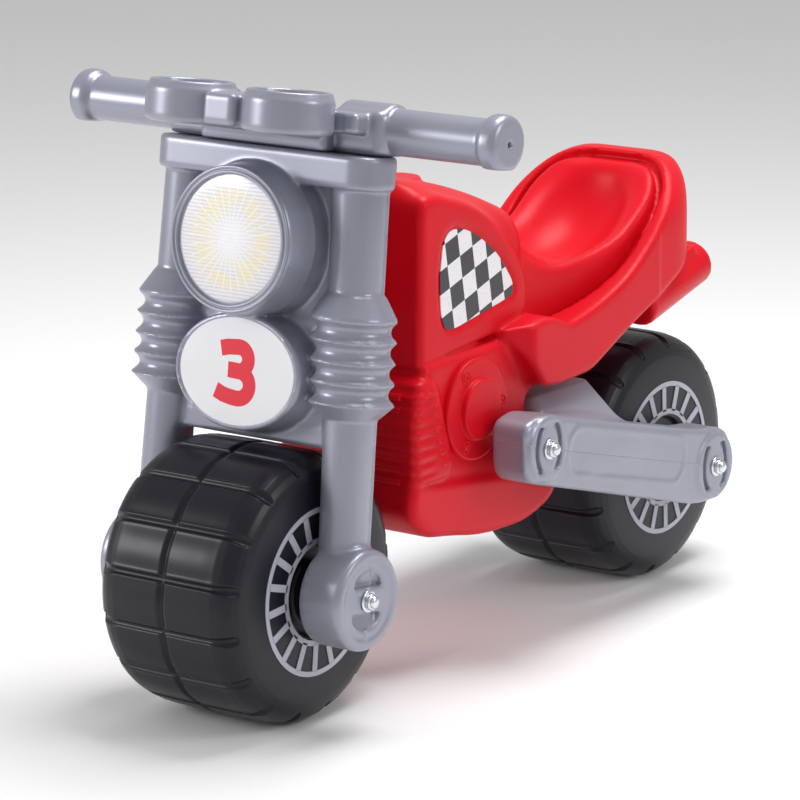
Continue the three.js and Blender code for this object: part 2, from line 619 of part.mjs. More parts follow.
function bodySolid() {
  const half = (width) => [-width, width];
  const body = join(
    sideSlab(TANK, ...half(TANK_HALF), 10),
    sideSlab(SADDLE, ...half(SADDLE_HALF), 10),
    sideSlab(TAIL, ...half(SEAT_HALF), 9).intersect(seatPlan()).intersect(seatRear()),
    sideSlab(ENGINE, ...half(ENGINE_HALF), 4),
    sideSlab(BELLY, ...half(BELLY_HALF), 10),
    noseSolid(),
    ...SIDES.flatMap(([, side]) => [exhaustStub(side), engineCover(side)]),
    fillerBoss());
  const bowl = ellipsoid(0, BOWL_Y, BOWL_Z, BOWL_RADII);
  const wheelRoom = discX([-HUB_FACE - 9, HUB_FACE + 9], WHEEL_RADIUS + 14, REAR_AXLE_Y, WHEEL_RADIUS);
  const pivotBore = discX([-90, 90], ROD_RADIUS + ROD_CLEARANCE, PIVOT_Y, PIVOT_Z, 16);
  return cut(body, bowl, wheelRoom, pivotBore, steeringBore());
}

// A thin printed panel lying on the flat side of the tank.
function tankSticker(side) {
  const outline = fromFrontAxle([
    [181, 284, 8], [184, 352, 10], [205, 366, 16], [240, 352, 30], [272, 322, 24], [284, 296, 10],
    [276, 290, 6], [198, 281, 6]]);
  return sideSlab(outline, ...mirrored([TANK_HALF + GAP, TANK_HALF + GAP + STICKER_THICK], side));
}

// ---- build -------------------------------------------------------------------------------------------
place(motorcycle, 'body_shell', bodySolid(), RED_PLASTIC);
place(motorcycle, 'swingarm', swingarmSolid(), GREY_PLASTIC);
addThroughRod(motorcycle, 'pivot_rod', PIVOT_Y, PIVOT_Z, ARM_OUTER + BOSS_PROUD);
addThroughRod(motorcycle, 'rear_axle', REAR_AXLE_Y, WHEEL_RADIUS, ARM_OUTER + BOSS_PROUD);
for (const [sideName, side] of SIDES) {
  place(motorcycle, `tank_sticker_${sideName}`, tankSticker(side), PRINT);
}
addWheel(motorcycle, 'rear', REAR_AXLE_Y, WHEEL_RADIUS);

place(steering, 'fork', forkSolid(), GREY_PLASTIC);
place(steering, 'handlebar', handlebarSolid(), GREY_PLASTIC);
addSteeringPin();
addThroughRod(steering, 'front_axle', 0, 0, FORK_BOSS_OUTER - 1.5);
place(steering, 'headlight_sticker',
  ellipseDrum(LAMP_LENS_RADIUS, LAMP_LENS_RADIUS, LAMP_Z, LAMP_FACE - LAMP_RECESS + GAP + STICKER_THICK,
    LAMP_FACE - LAMP_RECESS + GAP), PRINT);
place(steering, 'number_plate_sticker',
  ellipseDrum(PLATE_STICKER[0], PLATE_STICKER[1], PLATE_Z, PLATE_FACE - PLATE_RECESS + GAP + STICKER_THICK,
    PLATE_FACE - PLATE_RECESS + GAP), PRINT);
const frontWheel = new THREE.Group();
frontWheel.rotation.x = RAKE;
steering.add(frontWheel);
addWheel(frontWheel, 'front', 0, 0);

export default motorcycle;
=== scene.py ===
"""A child's foot-to-floor ride-on motorcycle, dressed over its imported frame.

Lengths inside the builders are millimetres, and each finished mesh is in metres.
+X is the rider's left, -Y the front of the toy and +Z up.
"""
import json
import logging
import math
from dataclasses import dataclass, field, replace
from enum import Enum
from typing import Any, Sequence

import bpy
import numpy as np
from mathutils import Matrix, Vector

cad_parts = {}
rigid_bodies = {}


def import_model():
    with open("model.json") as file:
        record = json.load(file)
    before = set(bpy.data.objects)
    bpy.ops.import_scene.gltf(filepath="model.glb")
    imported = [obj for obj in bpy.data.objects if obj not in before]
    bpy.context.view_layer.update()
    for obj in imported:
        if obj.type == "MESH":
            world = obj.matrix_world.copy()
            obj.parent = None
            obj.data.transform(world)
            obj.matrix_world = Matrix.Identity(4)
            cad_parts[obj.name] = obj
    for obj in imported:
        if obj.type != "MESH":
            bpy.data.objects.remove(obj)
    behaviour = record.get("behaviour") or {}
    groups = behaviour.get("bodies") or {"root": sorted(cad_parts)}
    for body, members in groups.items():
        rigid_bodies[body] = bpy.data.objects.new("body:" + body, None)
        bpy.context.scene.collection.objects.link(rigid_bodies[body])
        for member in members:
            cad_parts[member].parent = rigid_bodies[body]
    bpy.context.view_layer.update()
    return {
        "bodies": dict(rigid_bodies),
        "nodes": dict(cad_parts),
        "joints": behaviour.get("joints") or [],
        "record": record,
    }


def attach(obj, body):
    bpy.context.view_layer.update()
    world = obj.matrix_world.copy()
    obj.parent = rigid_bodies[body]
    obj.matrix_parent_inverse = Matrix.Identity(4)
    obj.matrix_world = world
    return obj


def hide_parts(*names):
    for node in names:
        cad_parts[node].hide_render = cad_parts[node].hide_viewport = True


LOG = logging.getLogger("ride_on")
MM = 0.001
QUARTER_TURN = math.radians(90)
SIDES = (("left", 1), ("right", -1))

Array = np.ndarray
Pair = tuple[float, float]
Triple = tuple[float, float, float]
Corner = tuple[float, float, float]
"""A corner of a side outline: how far back, how high, and its radius."""
Brick = tuple[Triple, Triple, float]
"""A box: its centre, its half sizes and the rounding of its edges."""
Colour = tuple[float, float, float, float]

FRONT_AXLE_Y = -254.5
REAR_AXLE_Y = 254.5
AXLE_Z = 110.0
RAKE = math.radians(8)
STEM_Y = 24.0
PIVOT_Y = FRONT_AXLE_Y + 247
PIVOT_Z = 181.0


class Body(Enum):
    """The rigid bodies that pieces ride on."""

    FRAME = "frame"
    STEERING = "steering"
    FRONT_WHEEL = "front_wheel"
    REAR_WHEEL = "rear_wheel"


def raked() -> Matrix:
    """Millimetres in the leaning frame of the fork to metres in the frame of the part."""
    turn = Matrix.Rotation(-RAKE, 4, "X")
    return Matrix.Translation((0, FRONT_AXLE_Y * MM, AXLE_Z * MM)) @ turn @ Matrix.Scale(MM, 4)


def upright() -> Matrix:
    """Millimetres in the frame of the part to metres."""
    return Matrix.Scale(MM, 4)


def facing_ahead(depth: float, height: float) -> Matrix:
    """A place on the fork, in metres, whose Z axis points to the front."""
    return raked() @ (Matrix.Translation((0, -depth, height))
                      @ Matrix.Rotation(QUARTER_TURN, 4, "X"))


def facing_out(side: int, x: float, y: float, z: float) -> Matrix:
    """A place in metres whose Z axis points out of the toy's side, from millimetres."""
    return Matrix.Translation((side * x * MM, y * MM, z * MM)) @ Matrix.Rotation(
        side * QUARTER_TURN, 4, "Y")


# ---- moulded solids as distance fields ----------------------------------------------------------


def soft_min(a: Array, b: Array, blend: float) -> Array:
    """The union of two solids with a fillet of about the blend's size."""
    if blend <= 0:
        return np.minimum(a, b)
    h = np.maximum(blend - np.abs(a - b), 0) / blend
    return np.minimum(a, b) - h * h * blend * 0.25


def soft_max(a: Array, b: Array, blend: float) -> Array:
    """The overlap of two solids with an edge rounded by about the blend's size."""
    return -soft_min(-a, -b, blend)


def carve(whole: Array, tool: Array, blend: float = 0.0) -> Array:
    """The whole with the tool cut away.

    Args:
        whole: distances to the solid.
        tool: distances to what is removed.
        blend: how softly the new edge is rounded.
    """
    return soft_max(whole, -tool, blend)


def welded(whole: Array, *parts: tuple[Array, float]) -> Array:
    """The whole with parts added in turn.

    Args:
        whole: distances to the solid.
        parts: distances to each part, and the size of its fillet.
    """
    for part, fillet in parts:
        whole = soft_min(whole, part, fillet)
    return whole


def beyond(values: Array, span: Pair) -> Array:
    """How far values lie outside a span, negative inside it."""
    return np.abs(values - (span[0] + span[1]) / 2) - (span[1] - span[0]) / 2


def overlap(a: Array, b: Array) -> Array:
    """Distance to where both are negative, round outside its edges."""
    outside = np.sqrt(np.maximum(a, 0) ** 2 + np.maximum(b, 0) ** 2)
    return outside + np.minimum(np.maximum(a, b), 0)


def rounded_outline(corners: Sequence[Corner], steps: int = 6, share: float = 0.48) -> Array:
    """A closed outline whose corners are rounded.

    Args:
        corners: (u, v, radius) for each corner.
        steps: points on each rounding.
        share: the most of an edge that a rounding takes.

    Returns:
        An array of (u, v) points.
    """
    points: list[Array] = []
    for i, (u, v, radius) in enumerate(corners):
        here = np.array([u, v])
        back = np.array(corners[i - 1][:2]) - here
        ahead = np.array(corners[(i + 1) % len(corners)][:2]) - here
        reach = min(radius, np.linalg.norm(back) * share, np.linalg.norm(ahead) * share)
        start = here + back / np.linalg.norm(back) * reach
        end = here + ahead / np.linalg.norm(ahead) * reach
        for t in np.linspace(0, 1, steps if reach > 0 else 1):
            points.append((1 - t) ** 2 * start + 2 * t * (1 - t) * here + t * t * end)
    return np.array(points)


def side_outline(corners: Sequence[Corner], steps: int = 6) -> Array:
    """A rounded outline in the frame of the part, from corners behind the front axle."""
    return rounded_outline([(y + FRONT_AXLE_Y, z, radius) for y, z, radius in corners], steps)


@dataclass
class Block:
    """A block of sample points, with the distance functions of simple solids on it."""

    low: Triple
    high: Triple
    cell: float
    x: Array = field(init=False)
    y: Array = field(init=False)
    z: Array = field(init=False)

    def __post_init__(self) -> None:
        """Lays out the sample points."""
        axes = [np.arange(a, b + self.cell, self.cell, dtype=np.float32)
                for a, b in zip(self.low, self.high)]
        self.x = axes[0][:, None, None]
        self.y = axes[1][None, :, None]
        self.z = axes[2][None, None, :]

    def box(self, centre: Sequence[float], half: Sequence[float], rounding: float,
            mirror: bool = False) -> Array:
        """A box with rounded edges; mirror places one on each side."""
        across = np.abs(self.x) if mirror else self.x
        gaps = [np.abs(c - m) - h + rounding
                for c, m, h in zip((across, self.y, self.z), centre, half)]
        outside = np.sqrt(sum(np.maximum(g, 0) ** 2 for g in gaps))
        inside = np.minimum(np.maximum(np.maximum(gaps[0], gaps[1]), gaps[2]), 0)
        return outside + inside - rounding

    def capped(self, flat: Array, along: Array, rounding: float) -> Array:
        """A 2-D distance given thickness: both inputs are negative inside."""
        return overlap(flat + rounding, along + rounding) - rounding

    def disc_x(self, y: float, z: float, radius: float, span: Pair,
               rounding: float = 0.0) -> Array:
        """A disc about X on both sides, over a span of distance from the middle."""
        flat = np.hypot(self.y - y, self.z - z) - radius
        return self.capped(flat, beyond(np.abs(self.x), span), rounding)

    def disc_z(self, x: float, y: float, radius: float, span: Pair, rounding: float = 0.0,
               mirror: bool = False) -> Array:
        """A disc with its axis along Z; mirror places one on each side."""
        across = np.abs(self.x) if mirror else self.x
        flat = np.hypot(across - x, self.y - y) - radius
        return self.capped(flat, beyond(self.z, span), rounding)

    def side_distance(self, outline: Array) -> Array:
        """Signed distance in the side view to a closed outline of (y, z) points."""
        u, v = np.broadcast_arrays(self.y[0], self.z[0])
        best = np.full(u.shape, np.inf, np.float32)
        crossings = np.zeros(u.shape, bool)
        for a, b in zip(outline, np.roll(outline, -1, axis=0)):
            edge = b - a
            size = float(edge @ edge)
            if size == 0:
                continue
            t = np.clip(((u - a[0]) * edge[0] + (v - a[1]) * edge[1]) / size, 0, 1)
            best = np.minimum(best, (u - a[0] - t * edge[0]) ** 2 + (v - a[1] - t * edge[1]) ** 2)
            if a[1] != b[1]:
                spans = (a[1] > v) != (b[1] > v)
                crossings ^= spans & (u < edge[0] * (v - a[1]) / edge[1] + a[0])
        return np.where(crossings, -1, 1)[None] * np.sqrt(best)[None]

    def slab(self, outline: Array, span: Pair, rounding: float) -> Array:
        """A side outline given thickness over a span of distance from the middle."""
        return self.capped(self.side_distance(outline), beyond(np.abs(self.x), span), rounding)

    def mesh(self, name: str, distance: Array, place: Matrix, relax: int = 2) -> bpy.types.Object:
        """The skin of a solid as an object.

        Args:
            name: the object's name.
            distance: signed distances at every sample point.
            place: takes the block's millimetres to the part's metres.
            relax: rounds of smoothing.

        Returns:
            A shaded, closed object in the scene.
        """
        points, faces = skin(edged(np.broadcast_to(distance, np.broadcast_shapes(
            self.x.shape, self.y.shape, self.z.shape))))
        points = relaxed(points, faces, relax)
        return mesh_object(name, points * self.cell + np.array(self.low), faces, place)


def edged(values: Array, margin: float = 0.1) -> Array:
    """The same values with the border of the block kept outside the solid."""
    safe = np.array(values, np.float32)
    for axis in range(3):
        for end in (0, -1):
            border = [slice(None)] * 3
            border[axis] = end
            safe[tuple(border)] = np.maximum(safe[tuple(border)], margin)
    return safe


def skin(values: Array) -> tuple[Array, Array]:
    """The zero surface of a block of values, one point for each cell that it crosses.

    Args:
        values: negative inside the solid.

    Returns:
        Points in cell units, and quads that face outwards.
    """
    inside = values < 0
    cells = tuple(n - 1 for n in values.shape)
    total = np.zeros(cells + (3,), np.float32)
    count = np.zeros(cells, np.float32)
    quads: list[tuple[int, Array, Array]] = []
    for axis in range(3):
        side = [1 if i == axis else 0 for i in range(3)]
        low = tuple(slice(0, -1) if i == axis else slice(None) for i in range(3))
        high = tuple(slice(1, None) if i == axis else slice(None) for i in range(3))
        crossed = inside[low] != inside[high]
        where = np.argwhere(crossed)
        a, b = values[low][crossed], values[high][crossed]
        spots = where + (a / (a - b))[:, None] * np.array(side)
        others = [i for i in range(3) if i != axis]
        for da in (0, 1):
            for db in (0, 1):
                shift = [0, 0, 0]
                shift[others[0]], shift[others[1]] = da, db
                cell = where - np.array(shift)
                fits = np.all((cell >= 0) & (cell < np.array(cells)), axis=1)
                index = tuple(cell[fits].T)
                np.add.at(total, index, spots[fits])
                np.add.at(count, index, 1)
        quads.append((axis, where, inside[low][crossed]))
    used = count > 0
    number = np.full(cells, -1, np.int64)
    number[used] = np.arange(int(used.sum()))
    points = total[used] / count[used][:, None]
    faces = []
    for axis, where, outwards in quads:
        first, second = (axis + 1) % 3, (axis + 2) % 3
        ring = []
        for da, db in ((1, 1), (0, 1), (0, 0), (1, 0)):
            cell = where.copy()
            cell[:, first] -= da
            cell[:, second] -= db
            ring.append(number[tuple(cell.T)])
        quad = np.stack(ring, axis=1)
        quad[~outwards] = quad[~outwards][:, ::-1]
        faces.append(quad)
    return points, np.concatenate(faces)


def relaxed(points: Array, faces: Array, rounds: int, pull: float = 0.5,
            push: float = -0.47) -> Array:
    """Points moved towards their neighbours, and back a little so that nothing shrinks.

    Args:
        points: one row of coordinates for each vertex.
        faces: quads of vertex numbers.
        rounds: how often both moves are made.
        pull: the share of the way to the neighbours' middle.
        push: the share of the way back.

    Returns:
        The moved points.
    """
    ends = np.concatenate([faces[:, [i, (i + 1) % 4]] for i in range(4)])
    degree = np.bincount(ends[:, 0], minlength=len(points)).astype(np.float64)
    degree += np.bincount(ends[:, 1], minlength=len(points))
    for step in range(2 * rounds):
        total = np.zeros_like(points, dtype=np.float64)
        for axis in range(3):
            total[:, axis] = np.bincount(ends[:, 0], points[ends[:, 1], axis], len(points))
            total[:, axis] += np.bincount(ends[:, 1], points[ends[:, 0], axis], len(points))
        share = pull if step % 2 == 0 else push
        points = points + share * (total / degree[:, None] - points)
    return points


def mesh_object(name: str, points: Array, faces: Sequence[Sequence[int]] | Array,
                place: Matrix) -> bpy.types.Object:
    """An object with a smooth mesh at the origin.

    Args:
        name: the object's name.
        points: one row of coordinates for each vertex.
        faces: vertex numbers of each face, facing outwards.
        place: takes the points to the part's metres.

    Returns:
        The object, linked to the scene.
    """
    turn = np.array(place)
    placed = np.asarray(points) @ turn[:3, :3].T + turn[:3, 3]
    mesh = bpy.data.meshes.new(name)
    mesh.from_pydata(placed.tolist(), [], [list(map(int, f)) for f in faces])
    mesh.polygons.foreach_set("use_smooth", [True] * len(mesh.polygons))
    mesh.update()
    item = bpy.data.objects.new(name, mesh)
    bpy.context.scene.collection.objects.link(item)
    return item


def faceted(item: bpy.types.Object) -> bpy.types.Object:
    """The same object with flat faces."""
    item.data.polygons.foreach_set("use_smooth", [False] * len(item.data.polygons))
    return item


def lathe(name: str, profile: Sequence[Pair], place: Matrix, segments: int,
          stretch: Pair = (1.0, 1.0)) -> bpy.types.Object:
    """A closed solid of revolution round Z, from (radius, height) pairs.

    Args:
        name: the object's name.
        profile: from the lower pole to the upper one, both on the axis.
        place: takes the points to the part's metres.
        segments: facets round the axis.
        stretch: widths along X and Y, for an oval.

    Returns:
        The object, linked to the scene.
    """
    angles = np.linspace(0, 2 * math.pi, segments, endpoint=False)
    points: list[list[float]] = [[0, 0, profile[0][1]]]
    for radius, height in profile[1:-1]:
        points += [[radius * stretch[0] * math.cos(a), radius * stretch[1] * math.sin(a), height]
                   for a in angles]
    points.append([0, 0, profile[-1][1]])
    faces: list[list[int]] = []
    rows = len(profile) - 2
    for i in range(segments):
        j = (i + 1) % segments
        faces.append([0, 1 + j, 1 + i])
        for row in range(rows - 1):
            a = 1 + row * segments
            faces.append([a + i, a + j, a + segments + j, a + segments + i])
        top = 1 + (rows - 1) * segments
        faces.append([top + i, top + j, len(points) - 1])
    return mesh_object(name, np.array(points), faces, place)


# ---- shader graphs ------------------------------------------------------------------------------


class Value:
    """A shader socket that takes part in arithmetic."""

    def __init__(self, bench: "Bench", socket: bpy.types.NodeSocket) -> None:
        """Wraps one output socket."""
        self.bench = bench
        self.socket = socket

    def _math(self, operation: str, *inputs: Any, clamp: bool = False) -> "Value":
        """One Math node."""
        return self.bench.add("ShaderNodeMath", dict(operation=operation, use_clamp=clamp),
                              dict(enumerate(inputs)))

    def __add__(self, other: Any) -> "Value":
        """Adds."""
        return self._math("ADD", self, other)

    def __radd__(self, other: Any) -> "Value":
        """Adds to a number."""
        return self._math("ADD", other, self)

    def __sub__(self, other: Any) -> "Value":
        """Subtracts."""
        return self._math("SUBTRACT", self, other)

    def __rsub__(self, other: Any) -> "Value":
        """Subtracts from a number."""
        return self._math("SUBTRACT", other, self)

    def __mul__(self, other: Any) -> "Value":
        """Multiplies."""
        return self._math("MULTIPLY", self, other)

    def __rmul__(self, other: Any) -> "Value":
        """Multiplies a number."""
        return self._math("MULTIPLY", other, self)

    def __truediv__(self, other: Any) -> "Value":
        """Divides."""
        return self._math("DIVIDE", self, other)

    def abs(self) -> "Value":
        """The size without its sign."""
        return self._math("ABSOLUTE", self)

    def fract(self) -> "Value":
        """What is left after the whole number."""
        return self._math("FRACT", self)

    def floor(self) -> "Value":
        """The whole number below."""
        return self._math("FLOOR", self)

    def root(self) -> "Value":
        """The square root."""
        return self._math("SQRT", self)

    def modulo(self, other: float) -> "Value":
        """The remainder, never negative."""
        return self._math("FLOORED_MODULO", self, other)

    def angle_of(self, other: "Value") -> "Value":
        """The angle whose sine is this and whose cosine is the other."""
        return self._math("ARCTAN2", self, other)

    def below(self, edge: float, soft: float) -> "Value":
        """1 where the value is under the edge, 0 over it, with a soft step between."""
        return self.bench.step(self, edge + soft, edge - soft)

    def above(self, edge: float, soft: float) -> "Value":
        """1 where the value is over the edge."""
        return self.bench.step(self, edge - soft, edge + soft)


@dataclass
class Bench:
    """Builds the node graph of one material."""

    name: str
    material: bpy.types.Material = field(init=False)
    shader: bpy.types.Node = field(init=False)

    def __post_init__(self) -> None:
        """Starts the material with its main shader."""
        self.material = bpy.data.materials.new(self.name)
        self.material.use_nodes = True
        self.shader = self.material.node_tree.nodes["Principled BSDF"]

    def add(self, kind: str, settings: dict[str, Any], inputs: dict[Any, Any],
            output: int | str = 0) -> Value:
        """A node with its settings made first, and then its sockets.

        Args:
            kind: the node's type.
            settings: attributes of the node.
            inputs: values or links by socket.
            output: the socket that is wrapped.

        Returns:
            The output, ready for arithmetic.
        """
        node = self.material.node_tree.nodes.new(kind)
        for key, value in settings.items():
            setattr(node, key, value)
        for key, value in inputs.items():
            self.feed(node.inputs[key], value)
        return Value(self, node.outputs[output])

    def feed(self, socket: bpy.types.NodeSocket, value: Any) -> None:
        """Links a value to a socket, or sets a constant on it."""
        if isinstance(value, Value):
            self.material.node_tree.links.new(value.socket, socket)
        else:
            socket.default_value = value

    def step(self, value: Value, start: float, end: float) -> Value:
        """A smooth step from 0 at start to 1 at end."""
        return self.add("ShaderNodeMapRange", dict(interpolation_type="SMOOTHSTEP"),
                        {"Value": value, "From Min": start, "From Max": end}, "Result")

    def position(self, centre: Vector = Vector(), turn: float = 0.0) -> tuple[Value, Value, Value]:
        """Object coordinates in millimetres from a centre in metres, turned about X."""
        back = Matrix.Rotation(-turn, 3, "X") @ (-centre)
        place = self.add("ShaderNodeMapping", {}, {
            "Vector": self.add("ShaderNodeTexCoord", {}, {}, "Object"),
            "Rotation": (-turn, 0, 0), "Location": tuple(back)})
        scaled = self.add("ShaderNodeVectorMath", dict(operation="SCALE"),
                          {0: place, "Scale": 1 / MM})
        parts = self.add("ShaderNodeSeparateXYZ", {}, {0: scaled}).socket.node.outputs
        return tuple(Value(self, part) for part in parts)

    def noise(self, scale: float, detail: float = 2.0, rough: float = 0.5) -> Value:
        """Noise on Object coordinates, with the scale in lumps to the metre."""
        return self.add("ShaderNodeTexNoise", {}, {
            "Vector": self.add("ShaderNodeTexCoord", {}, {}, "Object"),
            "Scale": scale, "Detail": detail, "Roughness": rough})

    def mix(self, factor: Any, a: Any, b: Any) -> Value:
        """A colour between two colours."""
        return self.add("ShaderNodeMix", dict(data_type="RGBA"), {0: factor, 6: a, 7: b}, 2)

    def bump(self, height: Value, depth_mm: float, strength: float = 1.0) -> None:
        """Feeds the normal from a height between 0 and 1."""
        self.feed(self.shader.inputs["Normal"], self.add(
            "ShaderNodeBump", {}, {"Height": height, "Distance": depth_mm * MM,
                                   "Strength": strength}))

    def surface(self, **values: Any) -> bpy.types.Material:
        """Sets sockets of the main shader, with spaces written as underscores."""
        for key, value in values.items():
            self.feed(self.shader.inputs[key.replace("_", " ")], value)
        return self.material


@dataclass(frozen=True)
class MouldedPlastic:
    """Blow-moulded polyethylene: faint flow lines, a fine skin and a soft shine.

    The seam is a moulded line in the side view: its normal, and how far out it lies in mm.
    """

    name: str
    colour: Colour
    shade: Colour
    roughness: float
    sheen_spread: float
    coat: float
    shine: float
    metal: float = 0.0
    tint: Colour = (1.0, 1.0, 1.0, 1)
    seam: Triple | None = None
    cloud_scale: float = 9.0
    flow_scale: float = 60.0
    skin_scale: float = 900.0
    relief_mm: float = 0.07

    def make(self) -> bpy.types.Material:
        """Builds the material."""
        bench = Bench(self.name)
        cloud = bench.noise(self.cloud_scale, 3.0)
        skin_noise = bench.noise(self.skin_scale)
        flow = bench.noise(self.flow_scale)
        rough = self.roughness + self.sheen_spread * (cloud - 0.5) + 0.05 * (flow - 0.5)
        height = 0.7 * flow + 0.3 * skin_noise
        if self.seam is not None:
            across, up, offset = self.seam
            _, y, z = bench.position()
            line = (y * across + z * up - offset).abs().below(0.5, 0.45)
            height = height - 6.0 * line
        bench.bump(height, self.relief_mm, 0.6)
        return bench.surface(Base_Color=bench.mix(cloud.above(0.5, 0.25), self.shade, self.colour),
                             Roughness=rough, Coat_Weight=self.coat, Coat_Roughness=0.22,
                             Specular_IOR_Level=self.shine, Metallic=self.metal,
                             Specular_Tint=self.tint)


@dataclass(frozen=True)
class ZincPlate:
    """Bright zinc on steel rods, washers and nuts."""

    name: str = "bright_zinc"
    shadow: Colour = (0.62, 0.66, 0.72, 1)
    light: Colour = (0.80, 0.82, 0.84, 1)
    cloud_scale: float = 180.0
    grain_scale: float = 1400.0

    def make(self) -> bpy.types.Material:
        """Builds the material."""
        bench = Bench(self.name)
        cloud = bench.noise(self.cloud_scale, 3.0)
        bench.bump(bench.noise(self.grain_scale, 1.0), 0.02, 0.4)
        return bench.surface(Base_Color=bench.mix(cloud, self.shadow, self.light), Metallic=1.0,
                             Roughness=0.18 + 0.14 * cloud)


@dataclass(frozen=True)
class ChequerPrint:
    """A slanted black and white chequer on a glossy sticker.

    The sides of one square run along and down, from the origin, in the side view.
    """

    name: str = "chequer_print"
    origin: Pair = (209.3 + FRONT_AXLE_Y, 342.0)
    along: Pair = (17.7, 5.3)
    down: Pair = (3.3, -18.8)
    black: Colour = (0.012, 0.012, 0.017, 1)
    white: Colour = (0.80, 0.77, 0.80, 1)

    def make(self) -> bpy.types.Material:
        """Builds the material."""
        bench = Bench(self.name)
        _, y, z = bench.position(Vector((0, self.origin[0] * MM, self.origin[1] * MM)))
        (ay, az), (dy, dz) = self.along, self.down
        area = ay * dz - az * dy
        column = (dz / area * y - dy / area * z).floor()
        row = (ay / area * z - az / area * y).floor()
        odd = (column + row).modulo(2.0)
        return bench.surface(Base_Color=bench.mix(odd, self.black, self.white),
                             Roughness=0.24 + 0.08 * bench.noise(500.0), Coat_Weight=0.3,
                             Coat_Roughness=0.1)


@dataclass(frozen=True)
class LensPrint:
    """A printed lamp: fine level lines, a ring of warm patches and thin white rays.

    Radii and the pitch of the lines are in mm.
    """

    centre: Vector
    name: str = "lamp_print"
    radius: float = 50.5
    border: float = 1.6
    line_pitch: float = 2.9
    rays: int = 30
    ray_width: float = 1.7
    ray_span: Pair = (4.0, 42.0)
    warm_span: Pair = (17.0, 38.0)
    line_colour: Colour = (0.66, 0.63, 0.68, 1)
    ground: Colour = (0.86, 0.85, 0.88, 1)
    warmth: Colour = (0.93, 0.77, 0.30, 1)
    glow_colour: Colour = (0.93, 0.93, 0.97, 1)
    ray_colour: Colour = (0.98, 0.97, 0.98, 1)
    border_colour: Colour = (0.55, 0.55, 0.60, 1)

    def make(self) -> bpy.types.Material:
        """Builds the material."""
        bench = Bench(self.name)
        x, _, z = bench.position(self.centre, -RAKE)
        reach = (x * x + z * z).root()
        turn = z.angle_of(x)
        line = ((z / self.line_pitch).fract() - 0.5).abs().below(0.17, 0.08)
        patchy = bench.noise(70.0, 2.0, 0.7)
        inner, outer = self.warm_span
        warm = reach.above(inner, 6.0) * reach.below(outer, 6.0) * patchy.above(0.45, 0.12)
        glow = reach.below(inner, 15.0)
        spokes = ((turn / (2 * math.pi / self.rays) + 0.5).fract() - 0.5).abs() * reach
        inner, outer = self.ray_span
        ray = spokes.below(self.ray_width, 0.9) * reach.below(outer, 5.0) * reach.above(inner, 3.0)
        colour = bench.mix(line, self.ground, self.line_colour)
        rim = reach.above(self.radius - self.border, 0.4)
        for factor, layer in ((warm * (0.25 + 0.6 * line), self.warmth),
                              (glow * 0.8, self.glow_colour), (ray * 0.85, self.ray_colour),
                              (rim, self.border_colour)):
            colour = bench.mix(factor, colour, layer)
        bench.bump(line, 0.05, 0.5)
        return bench.surface(Base_Color=colour, Roughness=0.2 + 0.08 * line, Coat_Weight=0.6,
                             Coat_Roughness=0.08)


@dataclass(frozen=True)
class PlainPrint:
    """One printed colour on a glossy sticker, with the least unevenness of print."""

    name: str
    colour: Colour
    roughness: float = 0.26

    def make(self) -> bpy.types.Material:
        """Builds the material."""
        bench = Bench(self.name)
        fine = bench.noise(420.0)
        wide = bench.noise(30.0, 1.0)
        darker = tuple(0.93 * c for c in self.colour[:3]) + (1,)
        bench.bump(fine, 0.02, 0.3)
        return bench.surface(Base_Color=bench.mix(wide, darker, self.colour),
                             Roughness=self.roughness + 0.08 * fine, Coat_Weight=0.3,
                             Coat_Roughness=0.12)


RED = MouldedPlastic(
    "red_moulded_plastic", colour=(0.66, 0.004, 0.014, 1), shade=(0.60, 0.003, 0.011, 1),
    roughness=0.38, sheen_spread=0.08, coat=0.0, shine=0.34, tint=(1.0, 0.42, 0.45, 1))
GREY = MouldedPlastic(
    "silver_grey_moulded_plastic", colour=(0.330, 0.335, 0.405, 1),
    shade=(0.305, 0.310, 0.380, 1), roughness=0.34, sheen_spread=0.08, coat=0.12, shine=0.5,
    metal=0.40)
BLACK = MouldedPlastic(
    "black_moulded_plastic", colour=(0.006, 0.006, 0.011, 1), shade=(0.009, 0.009, 0.015, 1),
    roughness=0.36, sheen_spread=0.10, coat=0.04, shine=0.32)


@dataclass
class Palette:
    """Every finish of the toy, made once."""

    red: bpy.types.Material = field(default_factory=RED.make)
    grey: bpy.types.Material = field(default_factory=GREY.make)
    black: bpy.types.Material = field(default_factory=BLACK.make)
    zinc: bpy.types.Material = field(default_factory=ZincPlate().make)
    silver: bpy.types.Material = field(
        default_factory=PlainPrint("silver_print", (0.42, 0.43, 0.50, 1), 0.3).make)
    white: bpy.types.Material = field(
        default_factory=PlainPrint("white_print", (0.86, 0.86, 0.89, 1)).make)
    numeral: bpy.types.Material = field(
        default_factory=PlainPrint("red_print", (0.80, 0.012, 0.035, 1)).make)
    chequer: bpy.types.Material = field(default_factory=ChequerPrint().make)


def repaint(item: bpy.types.Object, finish: bpy.types.Material) -> None:
    """Gives an object its finish."""
    item.data.materials.clear()
    item.data.materials.append(finish)


def dress(item: bpy.types.Object, finish: bpy.types.Material, body: Body, slot: str,
          *nodes: str) -> None:
    """Gives a piece its finish and its body, and hides the frame nodes that it stands for."""
    repaint(item, finish)
    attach(item, body.value)
    if nodes:
        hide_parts(*nodes)
    LOG.info("%s: %d faces on %s", item.name, len(item.data.polygons), body.value)


# ---- repeated details with geometry nodes -------------------------------------------------------


